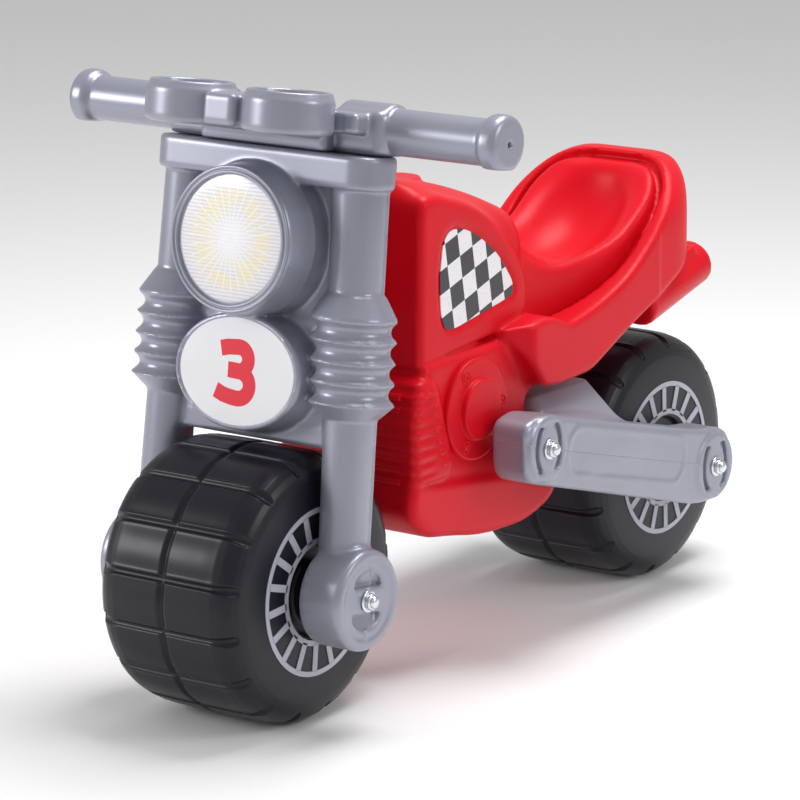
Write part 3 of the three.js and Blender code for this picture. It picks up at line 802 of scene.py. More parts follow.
class Tree:
    """A geometry node tree with named inputs, turned into a plain mesh when it is done."""

    def __init__(self, name: str) -> None:
        """Starts an empty tree."""
        self.tree = bpy.data.node_groups.new(name, "GeometryNodeTree")
        self.tree.interface.new_socket("Geometry", in_out="OUTPUT",
                                       socket_type="NodeSocketGeometry")
        self.inlet = self.tree.nodes.new("NodeGroupInput")
        self.outlet = self.tree.nodes.new("NodeGroupOutput")
        self.sizes: dict[str, float | int] = {}

    def size(self, name: str, value: float | int) -> bpy.types.NodeSocket:
        """A named input with the value that the finished modifier gets."""
        kind = "NodeSocketInt" if isinstance(value, int) else "NodeSocketFloat"
        self.tree.interface.new_socket(name, in_out="INPUT", socket_type=kind)
        self.sizes[name] = value
        return self.inlet.outputs[name]

    def node(self, kind: str, settings: dict[str, Any] | None = None,
             inputs: dict[Any, Any] | None = None) -> bpy.types.Node:
        """A node with its settings made first, and then its sockets."""
        node = self.tree.nodes.new(kind)
        for key, value in (settings or {}).items():
            setattr(node, key, value)
        for key, value in (inputs or {}).items():
            values = value if isinstance(value, list) else [value]
            for one in values:
                if isinstance(one, bpy.types.NodeSocket):
                    self.tree.links.new(one, node.inputs[key])
                elif isinstance(one, bpy.types.Node):
                    shape = one.outputs.get("Geometry") or one.outputs[0]
                    self.tree.links.new(shape, node.inputs[key])
                else:
                    node.inputs[key].default_value = one
        return node

    def template(self, part: bpy.types.Object) -> bpy.types.Node:
        """The shape of another object."""
        return self.node("GeometryNodeObjectInfo", inputs={"Object": part})

    def row(self, count: Any, start: Triple, end: Triple) -> bpy.types.Node:
        """Points in a straight row."""
        return self.node("GeometryNodeMeshLine", dict(mode="END_POINTS"), {
            "Count": count, "Start Location": start, "Offset": end})

    def copies(self, points: bpy.types.Node, shape: bpy.types.Node,
               **more: Any) -> bpy.types.Node:
        """A copy of a shape on each point."""
        return self.node("GeometryNodeInstanceOnPoints", inputs={
            "Points": points, "Instance": shape, **more})

    def moved(self, shape: bpy.types.Node, spot: Triple, turn: Triple) -> bpy.types.Node:
        """A shape turned and then moved."""
        return self.node("GeometryNodeTransform", inputs={
            0: shape, "Translation": spot, "Rotation": turn})

    def finish(self, name: str, shape: bpy.types.Node | list[bpy.types.Node],
               finish: bpy.types.Material) -> bpy.types.Object:
        """Realizes the shape with its finish as an object of its own.

        Args:
            name: the object's name.
            shape: the node or nodes that give the geometry.
            finish: the material that it is set to.

        Returns:
            The object at the origin, with no modifier left.
        """
        joined = self.node("GeometryNodeJoinGeometry", inputs={0: shape})
        smooth = self.node("GeometryNodeSetShadeSmooth", inputs={
            0: self.node("GeometryNodeRealizeInstances", inputs={0: joined})})
        painted = self.node("GeometryNodeSetMaterial", inputs={0: smooth})
        painted.inputs["Material"].default_value = finish
        self.tree.links.new(painted.outputs[0], self.outlet.inputs[0])
        holder = bpy.data.objects.new(name + "_holder", bpy.data.meshes.new(name + "_holder"))
        bpy.context.scene.collection.objects.link(holder)
        modifier = holder.modifiers.new("build", "NODES")
        modifier.node_group = self.tree
        for socket in self.tree.interface.items_tree:
            if socket.in_out == "INPUT":
                modifier[socket.identifier] = self.sizes[socket.name]
        bpy.context.view_layer.update()
        depsgraph = bpy.context.evaluated_depsgraph_get()
        mesh = bpy.data.meshes.new_from_object(holder.evaluated_get(depsgraph))
        mesh.name = name
        bpy.data.objects.remove(holder)
        item = bpy.data.objects.new(name, mesh)
        bpy.context.scene.collection.objects.link(item)
        return item


def hidden_template(name: str, profile: Sequence[Pair], segments: int) -> bpy.types.Object:
    """A small lathe in metres about Z, for instancing; it is removed once it has been used."""
    return lathe(name, profile, upright(), segments)


# ---- the red body -------------------------------------------------------------------------------


@dataclass
class RedBody:
    """Tank, bucket seat, engine block, belly and exhausts, moulded in one."""

    cell: float = 2.45
    reach: tuple[Triple, Triple] = ((-96, -244, 88), (96, 330, 436))
    tank_half: float = 62.0
    crown_half: float = 50.0
    neck_half: float = 46.0
    engine_half: float = 66.5
    fin_half: float = 71.0
    belly_half: float = 69.5
    band_half: float = 88.0
    band_corner: float = 62.0
    pad_half: float = 78.0
    pad_corner: float = 56.0
    pad_widths: tuple[Pair, ...] = ((300, 45), (345, 50), (390, 58), (440, 64), (490, 67))
    seat_back: float = FRONT_AXLE_Y + 560
    bowl_centre: Pair = (FRONT_AXLE_Y + 420, 388.0)
    bowl_size: Triple = (62.0, 102.0, 98.0)
    filler_y: float = FRONT_AXLE_Y + 207
    lug_radius: float = 19.5
    bore: float = 6.2
    cover: Pair = (FRONT_AXLE_Y + 220, 213.0)
    screw_circle: float = 34.0
    screw_x: float = 71.2
    exhaust: Triple = (60.0, FRONT_AXLE_Y + 524, 264.0)
    exhaust_radius: float = 20.5
    exhaust_lean: float = math.radians(14)
    rib_pitch: float = 10.0
    rib_phase: float = 177.0
    rib_depth: float = 2.4
    rib_end: float = FRONT_AXLE_Y + 166
    rib_heights: Pair = (160.0, 250.0)
    rib_row: tuple[Pair, Pair] = ((FRONT_AXLE_Y + 133.9, 167.0), (FRONT_AXLE_Y + 135.3, 237.0))
    lump_row: tuple[Pair, Pair] = ((FRONT_AXLE_Y + 173, 177.0), (FRONT_AXLE_Y + 155, 237.0))
    lump_x: float = 70.6
    wheel_room: Pair = (124.0, 80.0)
    recess_floor: float = 60.4
    sticker_x: Pair = (60.5, 61.3)
    sticker_gap: float = 2.2
    tank: tuple[Corner, ...] = (
        (151, 256, 5), (279, 268, 6), (307, 276, 8), (310, 301, 16), (298, 325, 24), (270, 356, 30),
        (236, 380, 30), (180, 398, 24), (160, 397, 10), (155, 385, 8))
    tank_crown: tuple[Corner, ...] = (
        (154, 262, 5), (300, 262, 10), (335, 330, 20), (320, 360, 30), (263, 384, 30),
        (210, 400, 30), (163, 408, 14), (156, 395, 8))
    neck: tuple[Corner, ...] = (
        (200, 262, 6), (330, 240, 10), (380, 250, 10), (380, 300, 20), (335, 326, 30),
        (262, 374, 30), (205, 390, 10))
    pad: tuple[Corner, ...] = (
        (270, 262, 6), (330, 244, 10), (430, 262, 20), (520, 296, 20), (545, 330, 20),
        (543, 369, 16), (520, 369, 14), (492, 345, 34), (458, 322, 40), (410, 309, 40),
        (355, 305, 40), (318, 314, 30), (284, 330, 20))
    band: tuple[Corner, ...] = (
        (261, 270, 5), (298, 218, 7), (320, 215, 8), (370, 217, 10), (436, 246, 16), (474, 260, 14),
        (528, 284, 16), (552, 312, 22), (561, 345, 24), (561, 379, 20), (532, 376, 24),
        (500, 345, 34), (470, 318, 40), (430, 290, 50), (380, 273, 40), (338, 265, 18),
        (322, 273, 10), (300, 277, 10))
    engine: tuple[Corner, ...] = (
        (136, 142, 8), (296, 138, 8), (300, 205, 6), (330, 222, 8), (330, 262, 8), (156, 262, 8),
        (144, 235, 14))
    fin_box: tuple[Corner, ...] = (
        (132, 162, 12), (182, 160, 14), (189, 180, 14), (167, 250, 9), (140, 251, 12),
        (132, 222, 14))
    belly: tuple[Corner, ...] = (
        (127, 140, 12), (152, 116, 20), (190, 110, 20), (235, 100, 26), (300, 98, 20),
        (338, 110, 14), (352, 138, 8), (300, 147, 6), (265, 151, 6), (171, 162, 8), (134, 170, 8))
    sticker: tuple[Corner, ...] = (
        (181, 329, 4), (186, 357, 9), (196, 366, 9), (216, 364, 12), (240, 352, 14), (266, 333, 14),
        (285, 308, 9), (286, 297, 7), (272, 294, 6), (202, 283, 8), (187, 284, 8), (182, 300, 6))

    def nose(self, block: Block) -> tuple[Array, Array]:
        """The lug that carries the steering pin, and the pin's bore."""
        turn = np.array(Matrix.Rotation(RAKE, 3, "X"))
        y, z = block.y - FRONT_AXLE_Y, block.z - AXLE_Z
        back, up = turn[1, 1] * y + turn[1, 2] * z, turn[2, 1] * y + turn[2, 2] * z
        radial = np.hypot(block.x, back - STEM_Y)
        barrel = block.capped(radial - self.lug_radius, beyond(up, (190.5, 317.5)), 2.0)
        plate = block.capped(np.maximum(np.abs(block.x) - self.lug_radius,
                                        beyond(back, (24, 156))), beyond(up, (197, 295)), 3.0)
        bore = np.maximum(radial - self.bore, beyond(up, (174, 334)))
        return soft_min(barrel, plate, 6), bore

    def moulding(self, block: Block, corners: Sequence[Corner], half: float,
                 rounding: float) -> Array:
        """A side outline as wide as twice the half width."""
        return block.slab(side_outline(corners), (-half, half), rounding)

    def rear_plan(self, block: Block, x: float, y: float, radius: float) -> Array:
        """The round rear corners of the seat in plan, from the centre of one of them."""
        plan = np.hypot(np.maximum(np.abs(block.x) - x, 0), np.maximum(block.y - y, 0)) - radius
        return np.where(block.y > y - 20, plan, -9.0)

    def seat(self, block: Block) -> Array:
        """The bucket: a pad with a crest round its bowl, a groove, and the wide band outside."""
        wide = np.abs(block.x)
        corner = self.band_corner
        band = self.moulding(block, self.band, self.band_half, 5)
        band = soft_max(band, self.rear_plan(
            block, self.band_half - corner, self.seat_back - corner, corner), 6)
        fall = (np.hypot(np.maximum(wide - 22, 0), np.maximum(block.z - 313, 0)) - 66) * 0.95
        chamfer = (wide - 62 - (block.y - (FRONT_AXLE_Y + 258)) * 0.95) * 0.72
        band = soft_max(soft_max(band, fall, 8), chamfer, 3)
        corner = self.pad_corner
        pad = self.moulding(block, self.pad, self.pad_half, 10)
        pad = soft_max(pad, self.rear_plan(
            block, self.pad_half - 66, self.seat_back - 24 - corner, corner), 8)
        half = np.interp(block.y - FRONT_AXLE_Y, *zip(*self.pad_widths))
        pad = soft_max(pad, (wide - half.astype(np.float32)) * 0.96, 8)
        groove = np.maximum(np.abs(pad - 2.2) - 3.4, -(band + 8))
        whole = carve(np.minimum(band, pad), np.maximum(groove, -pad - 1), 2.0)
        return carve(whole, self.bowl(block), 9)

    def bowl(self, block: Block) -> Array:
        """The hollow of the seat: a trough that runs up the back."""
        a, b, c = self.bowl_size
        scaled = ((np.abs(block.x) / a) ** 2.4
                  + np.abs((block.y - self.bowl_centre[0]) / b) ** 2.2
                  + np.abs((block.z - self.bowl_centre[1]) / c) ** 2.2)
        return (scaled ** (1 / 2.3) - 1) * a

    def stubs(self, block: Block) -> Array:
        """Twin exhaust stubs that slope up to the rear under the seat."""
        out, y, z = self.exhaust
        y, z = block.y - y, block.z - z
        cosine, sine = math.cos(self.exhaust_lean), math.sin(self.exhaust_lean)
        along, across = y * cosine + z * sine, z * cosine - y * sine
        radial = np.hypot(np.abs(block.x) - out, across) - self.exhaust_radius
        stub = block.capped(radial, np.abs(along) - 50, 4)
        wedge = block.capped(beyond(np.abs(block.x), (49, 75)), np.maximum(
            beyond(along, (-44, 36)), beyond(across, (1, 23))), 3)
        return soft_min(stub, wedge, 3)

    def fins(self, block: Block) -> Array:
        """The ribbed box at the front of the engine."""
        wave = 0.5 + 0.5 * np.cos(2 * math.pi * (block.z - self.rib_phase) / self.rib_pitch)
        low, high = self.rib_heights
        fade = np.clip((self.rib_end - block.y) / 14, 0, 1)
        fade = fade * np.clip((block.z - low) / 6, 0, 1) * np.clip((high - block.z) / 6, 0, 1)
        box = self.moulding(block, self.fin_box, self.fin_half, 9)
        return box + self.rib_depth * (0.6 - wave) * fade

    def distance(self, block: Block) -> Array:
        """The whole body as a distance field."""
        tank = welded(self.moulding(block, self.tank, self.tank_half, 7.5),
                      (self.moulding(block, self.tank_crown, self.crown_half, 26), 16),
                      (block.disc_z(0, self.filler_y, 20, (370, 402.5), 3), 3))
        recess = np.maximum(block.side_distance(side_outline(self.sticker)) - self.sticker_gap,
                            self.recess_floor - np.abs(block.x))
        nose, bore = self.nose(block)
        whole = welded(self.seat(block),
                       (self.moulding(block, self.neck, self.neck_half, 14), 12),
                       (self.moulding(block, self.engine, self.engine_half, 8), 7),
                       (carve(tank, recess, 1.6), 1.5),
                       (self.moulding(block, self.belly, self.belly_half, 9), 3),
                       (self.fins(block), 1.5), (self.stubs(block), 5), (nose, 8))
        radius, half = self.wheel_room
        room = np.maximum(np.hypot(block.y - REAR_AXLE_Y, block.z - AXLE_Z) - radius,
                          np.abs(block.x) - half)
        pivot = np.hypot(block.y - PIVOT_Y, block.z - PIVOT_Z) - self.bore
        return carve(carve(carve(whole, room, 6), bore), pivot)

    def build(self, palette: Palette) -> None:
        """Makes the body, its ribs, bumps, screws and stickers."""
        block = Block(*self.reach, self.cell)
        shell = block.mesh("moulded_body", self.distance(block), upright())
        dress(shell, palette.red, Body.FRAME, "red_body", "body_shell")
        self.ribs(palette)
        self.bumps(palette)
        self.covers(palette)
        self.stickers(palette)

    def ribs(self, palette: Palette) -> None:
        """Cooling ribs across the front of the engine."""
        tree = Tree("cooling_ribs")
        count, radius = tree.size("Count", 8), tree.size("Radius", 0.0030)
        half = tree.size("Half width", 0.054)
        rib = tree.node("GeometryNodeCurvePrimitiveLine", inputs={
            "Start": tree.node("ShaderNodeCombineXYZ", inputs={
                0: tree.node("ShaderNodeMath", dict(operation="MULTIPLY"), {0: half, 1: -1.0})}),
            "End": tree.node("ShaderNodeCombineXYZ", inputs={0: half})})
        bar = tree.node("GeometryNodeCurveToMesh", inputs={
            "Curve": rib, "Fill Caps": True,
            "Profile Curve": tree.node("GeometryNodeCurvePrimitiveCircle",
                                       inputs={"Resolution": 12, "Radius": radius})})
        ends = [(0, y * MM, z * MM) for y, z in self.rib_row]
        item = tree.finish("engine_ribs", tree.copies(tree.row(count, *ends), bar), palette.red)
        dress(item, palette.red, Body.FRAME, "red_body")

    def bumps(self, palette: Palette) -> None:
        """The row of moulded lumps down each side of the ribbed box."""
        tree = Tree("side_lumps")
        count, radius = tree.size("Count", 7), tree.size("Radius", 0.0036)
        lump = tree.node("GeometryNodeMeshIcoSphere", inputs={"Radius": radius, "Subdivisions": 3})
        rows = []
        for _, side in SIDES:
            ends = [(side * self.lump_x * MM, y * MM, z * MM) for y, z in self.lump_row]
            rows.append(tree.copies(tree.row(count, *ends), lump, Scale=(0.45, 1.5, 0.85)))
        item = tree.finish("engine_lumps", rows, palette.red)
        dress(item, palette.red, Body.FRAME, "red_body")

    def covers(self, palette: Palette) -> None:
        """The engine covers: a disc with a smaller one on it, and three moulded screw heads."""
        cover = hidden_template("cover", [
            (0, 58), (43.2, 58), (43.2, 69.6), (42.9, 70.6), (42.2, 71.2), (41.2, 71.4),
            (39.0, 71.5), (27.0, 71.5), (26.0, 71.8), (25.6, 72.6), (25.5, 75.6), (25.1, 76.5),
            (24.3, 77.0), (23.0, 77.0), (0, 77.0)], 96)
        head = hidden_template("screw_head", [
            (0, -2), (6.2, -2), (6.2, 0.4), (5.7, 1.1), (4.9, 0.9), (4.4, -0.4), (3.4, -0.4),
            (3.1, 0.9), (2.4, 1.2), (1.2, 1.2), (1.0, 0.3), (0, 0.3)], 32)
        tree = Tree("engine_covers")
        radius = tree.size("Circle radius", self.screw_circle * MM)
        parts = []
        for _, side in SIDES:
            circle = tree.node("GeometryNodeMeshCircle", inputs={"Vertices": 3, "Radius": radius})
            turned = tree.moved(circle, (0, 0, 0), (0, 0, QUARTER_TURN))
            screws = tree.copies(turned, tree.template(head))
            for part, out in ((screws, self.screw_x), (tree.template(cover), 0.0)):
                parts.append(tree.moved(part, (side * out * MM, self.cover[0] * MM,
                                               self.cover[1] * MM), (0, QUARTER_TURN * side, 0)))
        item = tree.finish("engine_covers", parts, palette.red)
        for part in (head, cover):
            bpy.data.objects.remove(part)
        dress(item, palette.red, Body.FRAME, "red_body")

    def stickers(self, palette: Palette) -> None:
        """The chequered panels in their recesses."""
        outline = side_outline(self.sticker, 8)
        count = len(outline)
        for name, side in SIDES:
            points = [[side * x, y, z] for x in self.sticker_x for y, z in outline]
            ring = list(range(count))
            top = [count + i for i in ring]
            walls = [[i, (i + 1) % count, count + (i + 1) % count, count + i] for i in ring]
            faces = [ring[::-1], top] + walls
            if signed_area(outline) * side < 0:
                faces = [face[::-1] for face in faces]
            item = faceted(mesh_object(f"chequered_panel_{name}", np.array(points), faces,
                                       upright()))
            dress(item, palette.chequer, Body.FRAME, "chequer_print", f"tank_sticker_{name}")


def signed_area(outline: Array) -> float:
    """Positive when the outline runs anticlockwise."""
    u, v = outline[:, 0], outline[:, 1]
    return float(np.sum(u * np.roll(v, -1) - v * np.roll(u, -1)) / 2)


# ---- the swingarm -------------------------------------------------------------------------------


@dataclass
class Swingarm:
    """Two side arms joined by a hipped deck ahead of the rear wheel."""

    cell: float = 1.9
    inner: float = 86.0
    outer: float = 122.0
    proud: float = 2.5
    bore: float = 5.6
    bolts: tuple[tuple[float, float, float, float], ...] = (
        (PIVOT_Y, PIVOT_Z, 28.0, 21.0), (REAR_AXLE_Y, AXLE_Z, 29.5, 22.0))
    """Height and depth of each bolt, and the radii of its raised face and of its slots."""
    panel_start: Pair = (PIVOT_Y + 48, PIVOT_Z - 13)
    panel_end: Pair = (REAR_AXLE_Y - 66, AXLE_Z + 19)
    panel_round: float = 17.5
    deck: Pair = (FRONT_AXLE_Y + 301, FRONT_AXLE_Y + 392)
    deck_half: float = 118.0
    deck_heights: Pair = (150.0, 205.0)
    body_back: float = FRONT_AXLE_Y + 300
    tyre_room: Pair = (117.0, 79.0)

    def outline(self) -> Array:
        """The arm seen from the side."""
        return rounded_outline([
            (PIVOT_Y - 29, PIVOT_Z - 24, 14), (REAR_AXLE_Y - 24, AXLE_Z - 31, 20),
            (REAR_AXLE_Y + 31, AXLE_Z - 32, 30), (REAR_AXLE_Y + 31, AXLE_Z + 30, 28),
            (REAR_AXLE_Y - 24, AXLE_Z + 37, 10), (PIVOT_Y + 28, PIVOT_Z + 21, 8),
            (PIVOT_Y - 6, PIVOT_Z + 29, 8), (PIVOT_Y - 31, PIVOT_Z + 24, 12)])

    def slots(self, block: Block, y: float, z: float, radius: float) -> Array:
        """Two upright curved slots either side of a bolt."""
        u, v = block.y - y, block.z - z
        arc = np.abs(np.hypot(u * 1.25, v * 0.85) - radius) - 3.2
        arc = np.maximum(arc, np.abs(v) - 19.5)
        return np.maximum(arc, self.outer + self.proud - 6.0 - np.abs(block.x))

    def panel(self, block: Block) -> Array:
        """Distance in the side view to the raised oblong panel."""
        start, end = np.array(self.panel_start), np.array(self.panel_end)
        run = end - start
        size = np.linalg.norm(run)
        along = ((block.y - start[0]) * run[0] + (block.z - start[1]) * run[1]) / size - size / 2
        across = ((block.z - start[1]) * run[0] - (block.y - start[0]) * run[1]) / size
        return overlap(np.abs(along) - size / 2, np.abs(across) - 3.0) - self.panel_round

    def bridge(self, block: Block) -> Array:
        """The deck between the arms: hipped, and cut away round the tyre."""
        wide = np.abs(block.x)
        front, back = self.deck
        floor, ridge = self.deck_heights
        top = block.z - (ridge - np.maximum(wide - 66, 0) * 0.86)
        top = top + np.maximum(block.y - back + 4, 0) * 1.1
        sides = np.maximum(np.maximum(front - block.y, block.y - back - 34),
                           np.maximum(floor - block.z, wide - self.deck_half))
        radius, half = self.tyre_room
        tyre = radius - np.hypot(block.y - REAR_AXLE_Y, block.z - AXLE_Z)
        front_slope = (front - block.y) * 0.75 + (block.z - 196) * 0.6
        deck = soft_max(soft_max(sides, top * 0.75, 5), front_slope, 4)
        return soft_max(deck, np.where(wide < half, tyre, -20), 3)

    def distance(self, block: Block) -> Array:
        """The whole swingarm as a distance field."""
        bead = np.maximum(np.abs(self.panel(block)) - 1.6,
                          np.abs(np.abs(block.x) - self.outer) - 1.5)
        face = (self.outer - 8, self.outer + self.proud)
        whole = welded(block.slab(self.outline(), (self.inner, self.outer), 4.5), (bead, 1.2),
                       *((block.disc_x(y, z, radius, face, 2.0), 1.0)
                         for y, z, radius, _ in self.bolts),
                       (self.bridge(block), 8),
                       (block.disc_x(REAR_AXLE_Y, AXLE_Z, 22, (80.5, 96), 2), 3))
        for y, z, _, radius in self.bolts:
            whole = carve(whole, self.slots(block, y, z, radius), 1.2)
            whole = carve(whole, np.hypot(block.y - y, block.z - z) - self.bore)
        body = np.where(block.y < self.body_back, np.maximum(
            np.abs(block.x) - self.inner, block.y - self.body_back), 50.0)
        return carve(whole, body, 2.0)

    def build(self, palette: Palette) -> None:
        """Makes the swingarm."""
        block = Block((-129, PIVOT_Y - 36, 72), (129, REAR_AXLE_Y + 37, 216), self.cell)
        run_y, run_z = REAR_AXLE_Y - PIVOT_Y, AXLE_Z - PIVOT_Z
        size = math.hypot(run_y, run_z)
        normal = (-run_z / size, run_y / size)
        seam = (normal[0], normal[1], normal[0] * PIVOT_Y + normal[1] * PIVOT_Z)
        finish = replace(GREY, name="silver_grey_swingarm_plastic", seam=seam).make()
        item = block.mesh("moulded_swingarm", self.distance(block), upright())
        dress(item, finish, Body.FRAME, "grey_frame", "swingarm")


# ---- the fork -----------------------------------------------------------------------------------


@dataclass
class Fork:
    """Crown, legs with moulded bellows, lamp drum, number pod and axle bosses, in one."""

    cell: float = 1.9
    leg_x: Pair = (93.0, 83.0)
    leg_radius: Pair = (19.0, 21.5)
    leg_top: float = 320.0
    ring_top: float = 218.0
    ring_pitch: float = 16.3
    ring_count: int = 4
    ring_radius: float = 34.5
    ring_root: float = 28.2
    web: Brick = ((0, -2, 219), (84, 4.5, 104), 1.5)
    lip: Brick = ((0, 4, 121), (80, 9.5, 9), 2.5)
    crown: Triple = (87.0, 4.0, 21.5)
    crown_heights: Pair = (319.0, 345.0)
    lug_heights: tuple[Pair, ...] = ((170, 189), (319, 345))
    lug_radius: float = 19.5
    boss_radius: float = 40.5
    bore: float = 5.8
    tyre_room: Pair = (112.5, 73.5)
    hub_room: Pair = (26.0, 80.5)
    lamp_z: float = 272.0
    lamp_face: float = 54.0
    lamp_radii: Pair = (64.0, 57.5)
    plate_z: float = 167.0
    plate_face: float = 33.5
    numeral_width: float = 12.5

    def leg_profile(self, z: Array) -> Array:
        """The leg's radius at each height, bellows included."""
        plain = np.interp(z, [0, self.leg_top], self.leg_radius)
        top, lowest = self.ring_top, self.ring_top - self.ring_count * self.ring_pitch
        wave = 1 - np.abs(np.sin(math.pi * (z - top) / self.ring_pitch)) ** 0.9
        rings = self.ring_root + (self.ring_radius - self.ring_root) * wave
        start, end = lowest - 13, top + 19
        shoulder = np.interp(z, [start, lowest, top, end],
                             [20.5, self.ring_radius, self.ring_radius, 22.5])
        bellows = np.where((z > lowest) & (z < top), rings, shoulder)
        return np.where((z > start) & (z < end), bellows, plain)

    def legs(self, block: Block) -> Array:
        """Both legs, with the thin flange of the mould behind them."""
        height = block.z[0, 0]
        centre = np.interp(height, [0, self.leg_top], self.leg_x)[None, None]
        radius = self.leg_profile(height)[None, None]
        radial = np.hypot(np.abs(block.x) - centre, block.y)
        fin = np.maximum((radial - radius - 2.0) * 0.8, np.abs(block.y - 11.5) - 1.7)
        leg = soft_min((radial - radius) * 0.8, fin, 1.5)
        return np.maximum(leg, np.maximum(-block.z, block.z - self.leg_top - 2))

    def boss(self, block: Block) -> Array:
        """The axle boss, with a sunk face and two half-moon pockets round the bolt."""
        boss = block.disc_x(0, 0, self.boss_radius, (80.5, 121), 5)
        boss = carve(boss, block.disc_x(0, 0, self.boss_radius - 9, (119.5, 135), 0.5), 2.0)
        high = np.abs(block.z)
        moon = np.hypot(block.y * 0.85, (high - 9.5) * 1.1) - 15.5
        sloped = 113.5 + np.clip(high - 10.5, 0, 14) * 0.36 - np.abs(block.x)
        boss = carve(boss, np.maximum(np.maximum(moon, 10.5 - high), sloped), 1.2)
        seam = np.maximum(np.abs(block.y) - 0.9, np.maximum(
            np.abs(np.abs(block.x) - 119.8) - 0.9, np.hypot(block.y, block.z) - 31))
        return soft_min(boss, seam, 1.0)

    def lamp(self, block: Block) -> Array:
        """The headlight drum: it widens to the web and has a double rim."""
        radial = np.hypot(block.x, block.z - self.lamp_z)
        depth, face = -block.y, self.lamp_face
        root, rim = self.lamp_radii
        outer = root - (root - rim) * np.clip(depth, 0, face) / face
        drum = block.capped(radial - outer, beyond(depth, (0, face)), 3.2)
        line = np.maximum(np.abs(depth - 24) - 0.8, np.abs(radial - outer) - 0.7)
        recess = np.maximum(radial - 51.6, face - 3.0 - depth)
        groove = np.maximum(np.abs(radial - 54.0) - 0.8, face - 1.4 - depth)
        return carve(carve(soft_min(drum, line, 1.2), recess, 1.4), groove, 1.0)

    def plate(self, block: Block) -> Array:
        """The oval pod for the number plate."""
        def oval(a: float, b: float) -> Array:
            """Distance to an oval in the front view."""
            u, v = block.x, block.z - self.plate_z
            k0 = np.sqrt((u / a) ** 2 + (v / b) ** 2)
            k1 = np.sqrt((u / a ** 2) ** 2 + (v / b ** 2) ** 2) + 1e-6
            return k0 * (k0 - 1) / k1

        depth, face = -block.y, self.plate_face
        widen = 3.0 * (1 - np.clip(depth, 0, face) / face)
        pod = block.capped(oval(62.2, 46) - widen, beyond(depth, (0, face)), 3)
        return carve(pod, np.maximum(oval(57.6, 43.4), face - 1.6 - depth), 1.4)

    def distance(self, block: Block) -> Array:
        """The whole fork as a distance field in the leaning frame."""
        half, deep, radius = self.crown
        plan = np.sqrt(np.maximum(np.abs(block.x) - half, 0) ** 2
                       + np.maximum(np.abs(block.y) - deep, 0) ** 2) - radius
        whole = welded(self.legs(block), (block.box(*self.web), 2.5), (block.box(*self.lip), 3),
                       (block.capped(plan, beyond(block.z, self.crown_heights), 3), 1.5),
                       (self.boss(block), 4), (self.lamp(block), 2), (self.plate(block), 2))
        for low, high in self.lug_heights:
            lug = block.disc_z(0, STEM_Y, self.lug_radius, (low, high), 2)
            strut = block.box((0, 11, (low + high) / 2),
                              (self.lug_radius, 14, (high - low) / 2), 2)
            whole = soft_min(whole, soft_min(lug, strut, 3), 3)
        reach = np.hypot(block.y, block.z)
        tyre, hub = (np.maximum(reach - radius, np.abs(block.x) - half)
                     for radius, half in (self.tyre_room, self.hub_room))
        pin = np.hypot(block.x, block.y - STEM_Y) - self.bore
        return carve(carve(carve(carve(whole, tyre, 1.5), hub), pin), reach - self.bore)

    def build(self, palette: Palette) -> None:
        """Makes the fork, the lamp print and the number plate."""
        block = Block((-125, -60, -45), (125, 48, 349), self.cell)
        item = block.mesh("moulded_fork", self.distance(block), raked())
        dress(item, palette.grey, Body.STEERING, "grey_frame", "fork")
        self.lens(palette)
        self.number(palette)

    def lens(self, palette: Palette) -> None:
        """The rim of the lamp and its slightly domed print."""
        rim = [(0, -5), (57, -5), (57.6, -1.2), (57.6, 0.1), (57.0, 0.8), (55.6, 0.8), (55.0, 0.2),
               (54.5, -0.6), (53.9, -0.6), (53.4, 0.2), (52.9, 0.7), (51.9, 0.7), (51.4, 0.1),
               (51.2, -1.0), (51.2, -3.2), (0, -3.2)]
        ring = lathe("lamp_rim", rim, facing_ahead(self.lamp_face, self.lamp_z), 128)
        dress(ring, palette.grey, Body.STEERING, "grey_frame")
        finish = LensPrint(raked() @ Vector((0, -self.lamp_face, self.lamp_z)))
        rows = [(finish.radius * math.cos(t), 0.7 + 1.2 * math.sin(t))
                for t in np.linspace(0, 1.45, 14)]
        item = lathe("lamp_print", [(0, 0), (finish.radius, 0), *rows, (0, 1.9)],
                     facing_ahead(self.lamp_face - 3.0, self.lamp_z), 96)
        dress(item, finish.make(), Body.STEERING, "lens_print", "headlight_sticker")

    def number(self, palette: Palette) -> None:
        """The white oval plate, and a plain numeral on it."""
        front = facing_ahead(self.plate_face - 1.6, self.plate_z)
        plate = faceted(lathe("number_plate", [
            (0, 0), (1, 0), (1, 0.5), (0.996, 0.7), (0.5, 0.7), (0, 0.7)], front, 96,
            (56.5, 42.5)))
        dress(plate, palette.white, Body.STEERING, "plate_print", "number_plate_sticker")
        for part, path in enumerate(self.numeral_paths()):
            stroke = ribbon(f"race_numeral_{part}", path, self.numeral_width,
                            (0.72, 0.86 + 0.02 * part), front)
            dress(stroke, palette.numeral, Body.STEERING, "plate_print")

    def numeral_paths(self) -> list[Array]:
        """The middle lines of the two bowls of a plain numeral."""
        upper = [(-16.5, 16.8), (-9, 18.6), (-2, 19.2)]
        upper += [(1.5 + 9.6 * math.cos(t), 9.9 + 9.6 * math.sin(t))
                  for t in np.linspace(math.radians(92), math.radians(-80), 18)]
        upper += [(-2, 0.8), (-8.5, 0.8)]
        lower = [(-6.5, 0.6), (0, 0.4)]
        lower += [(2.2 + 11.4 * math.cos(t), -10.4 + 10.8 * math.sin(t))
                  for t in np.linspace(math.radians(84), math.radians(-92), 18)]
        lower += [(-5, -20.6), (-12, -19.4), (-19.5, -16.6)]
        return [np.array(upper), np.array(lower)]


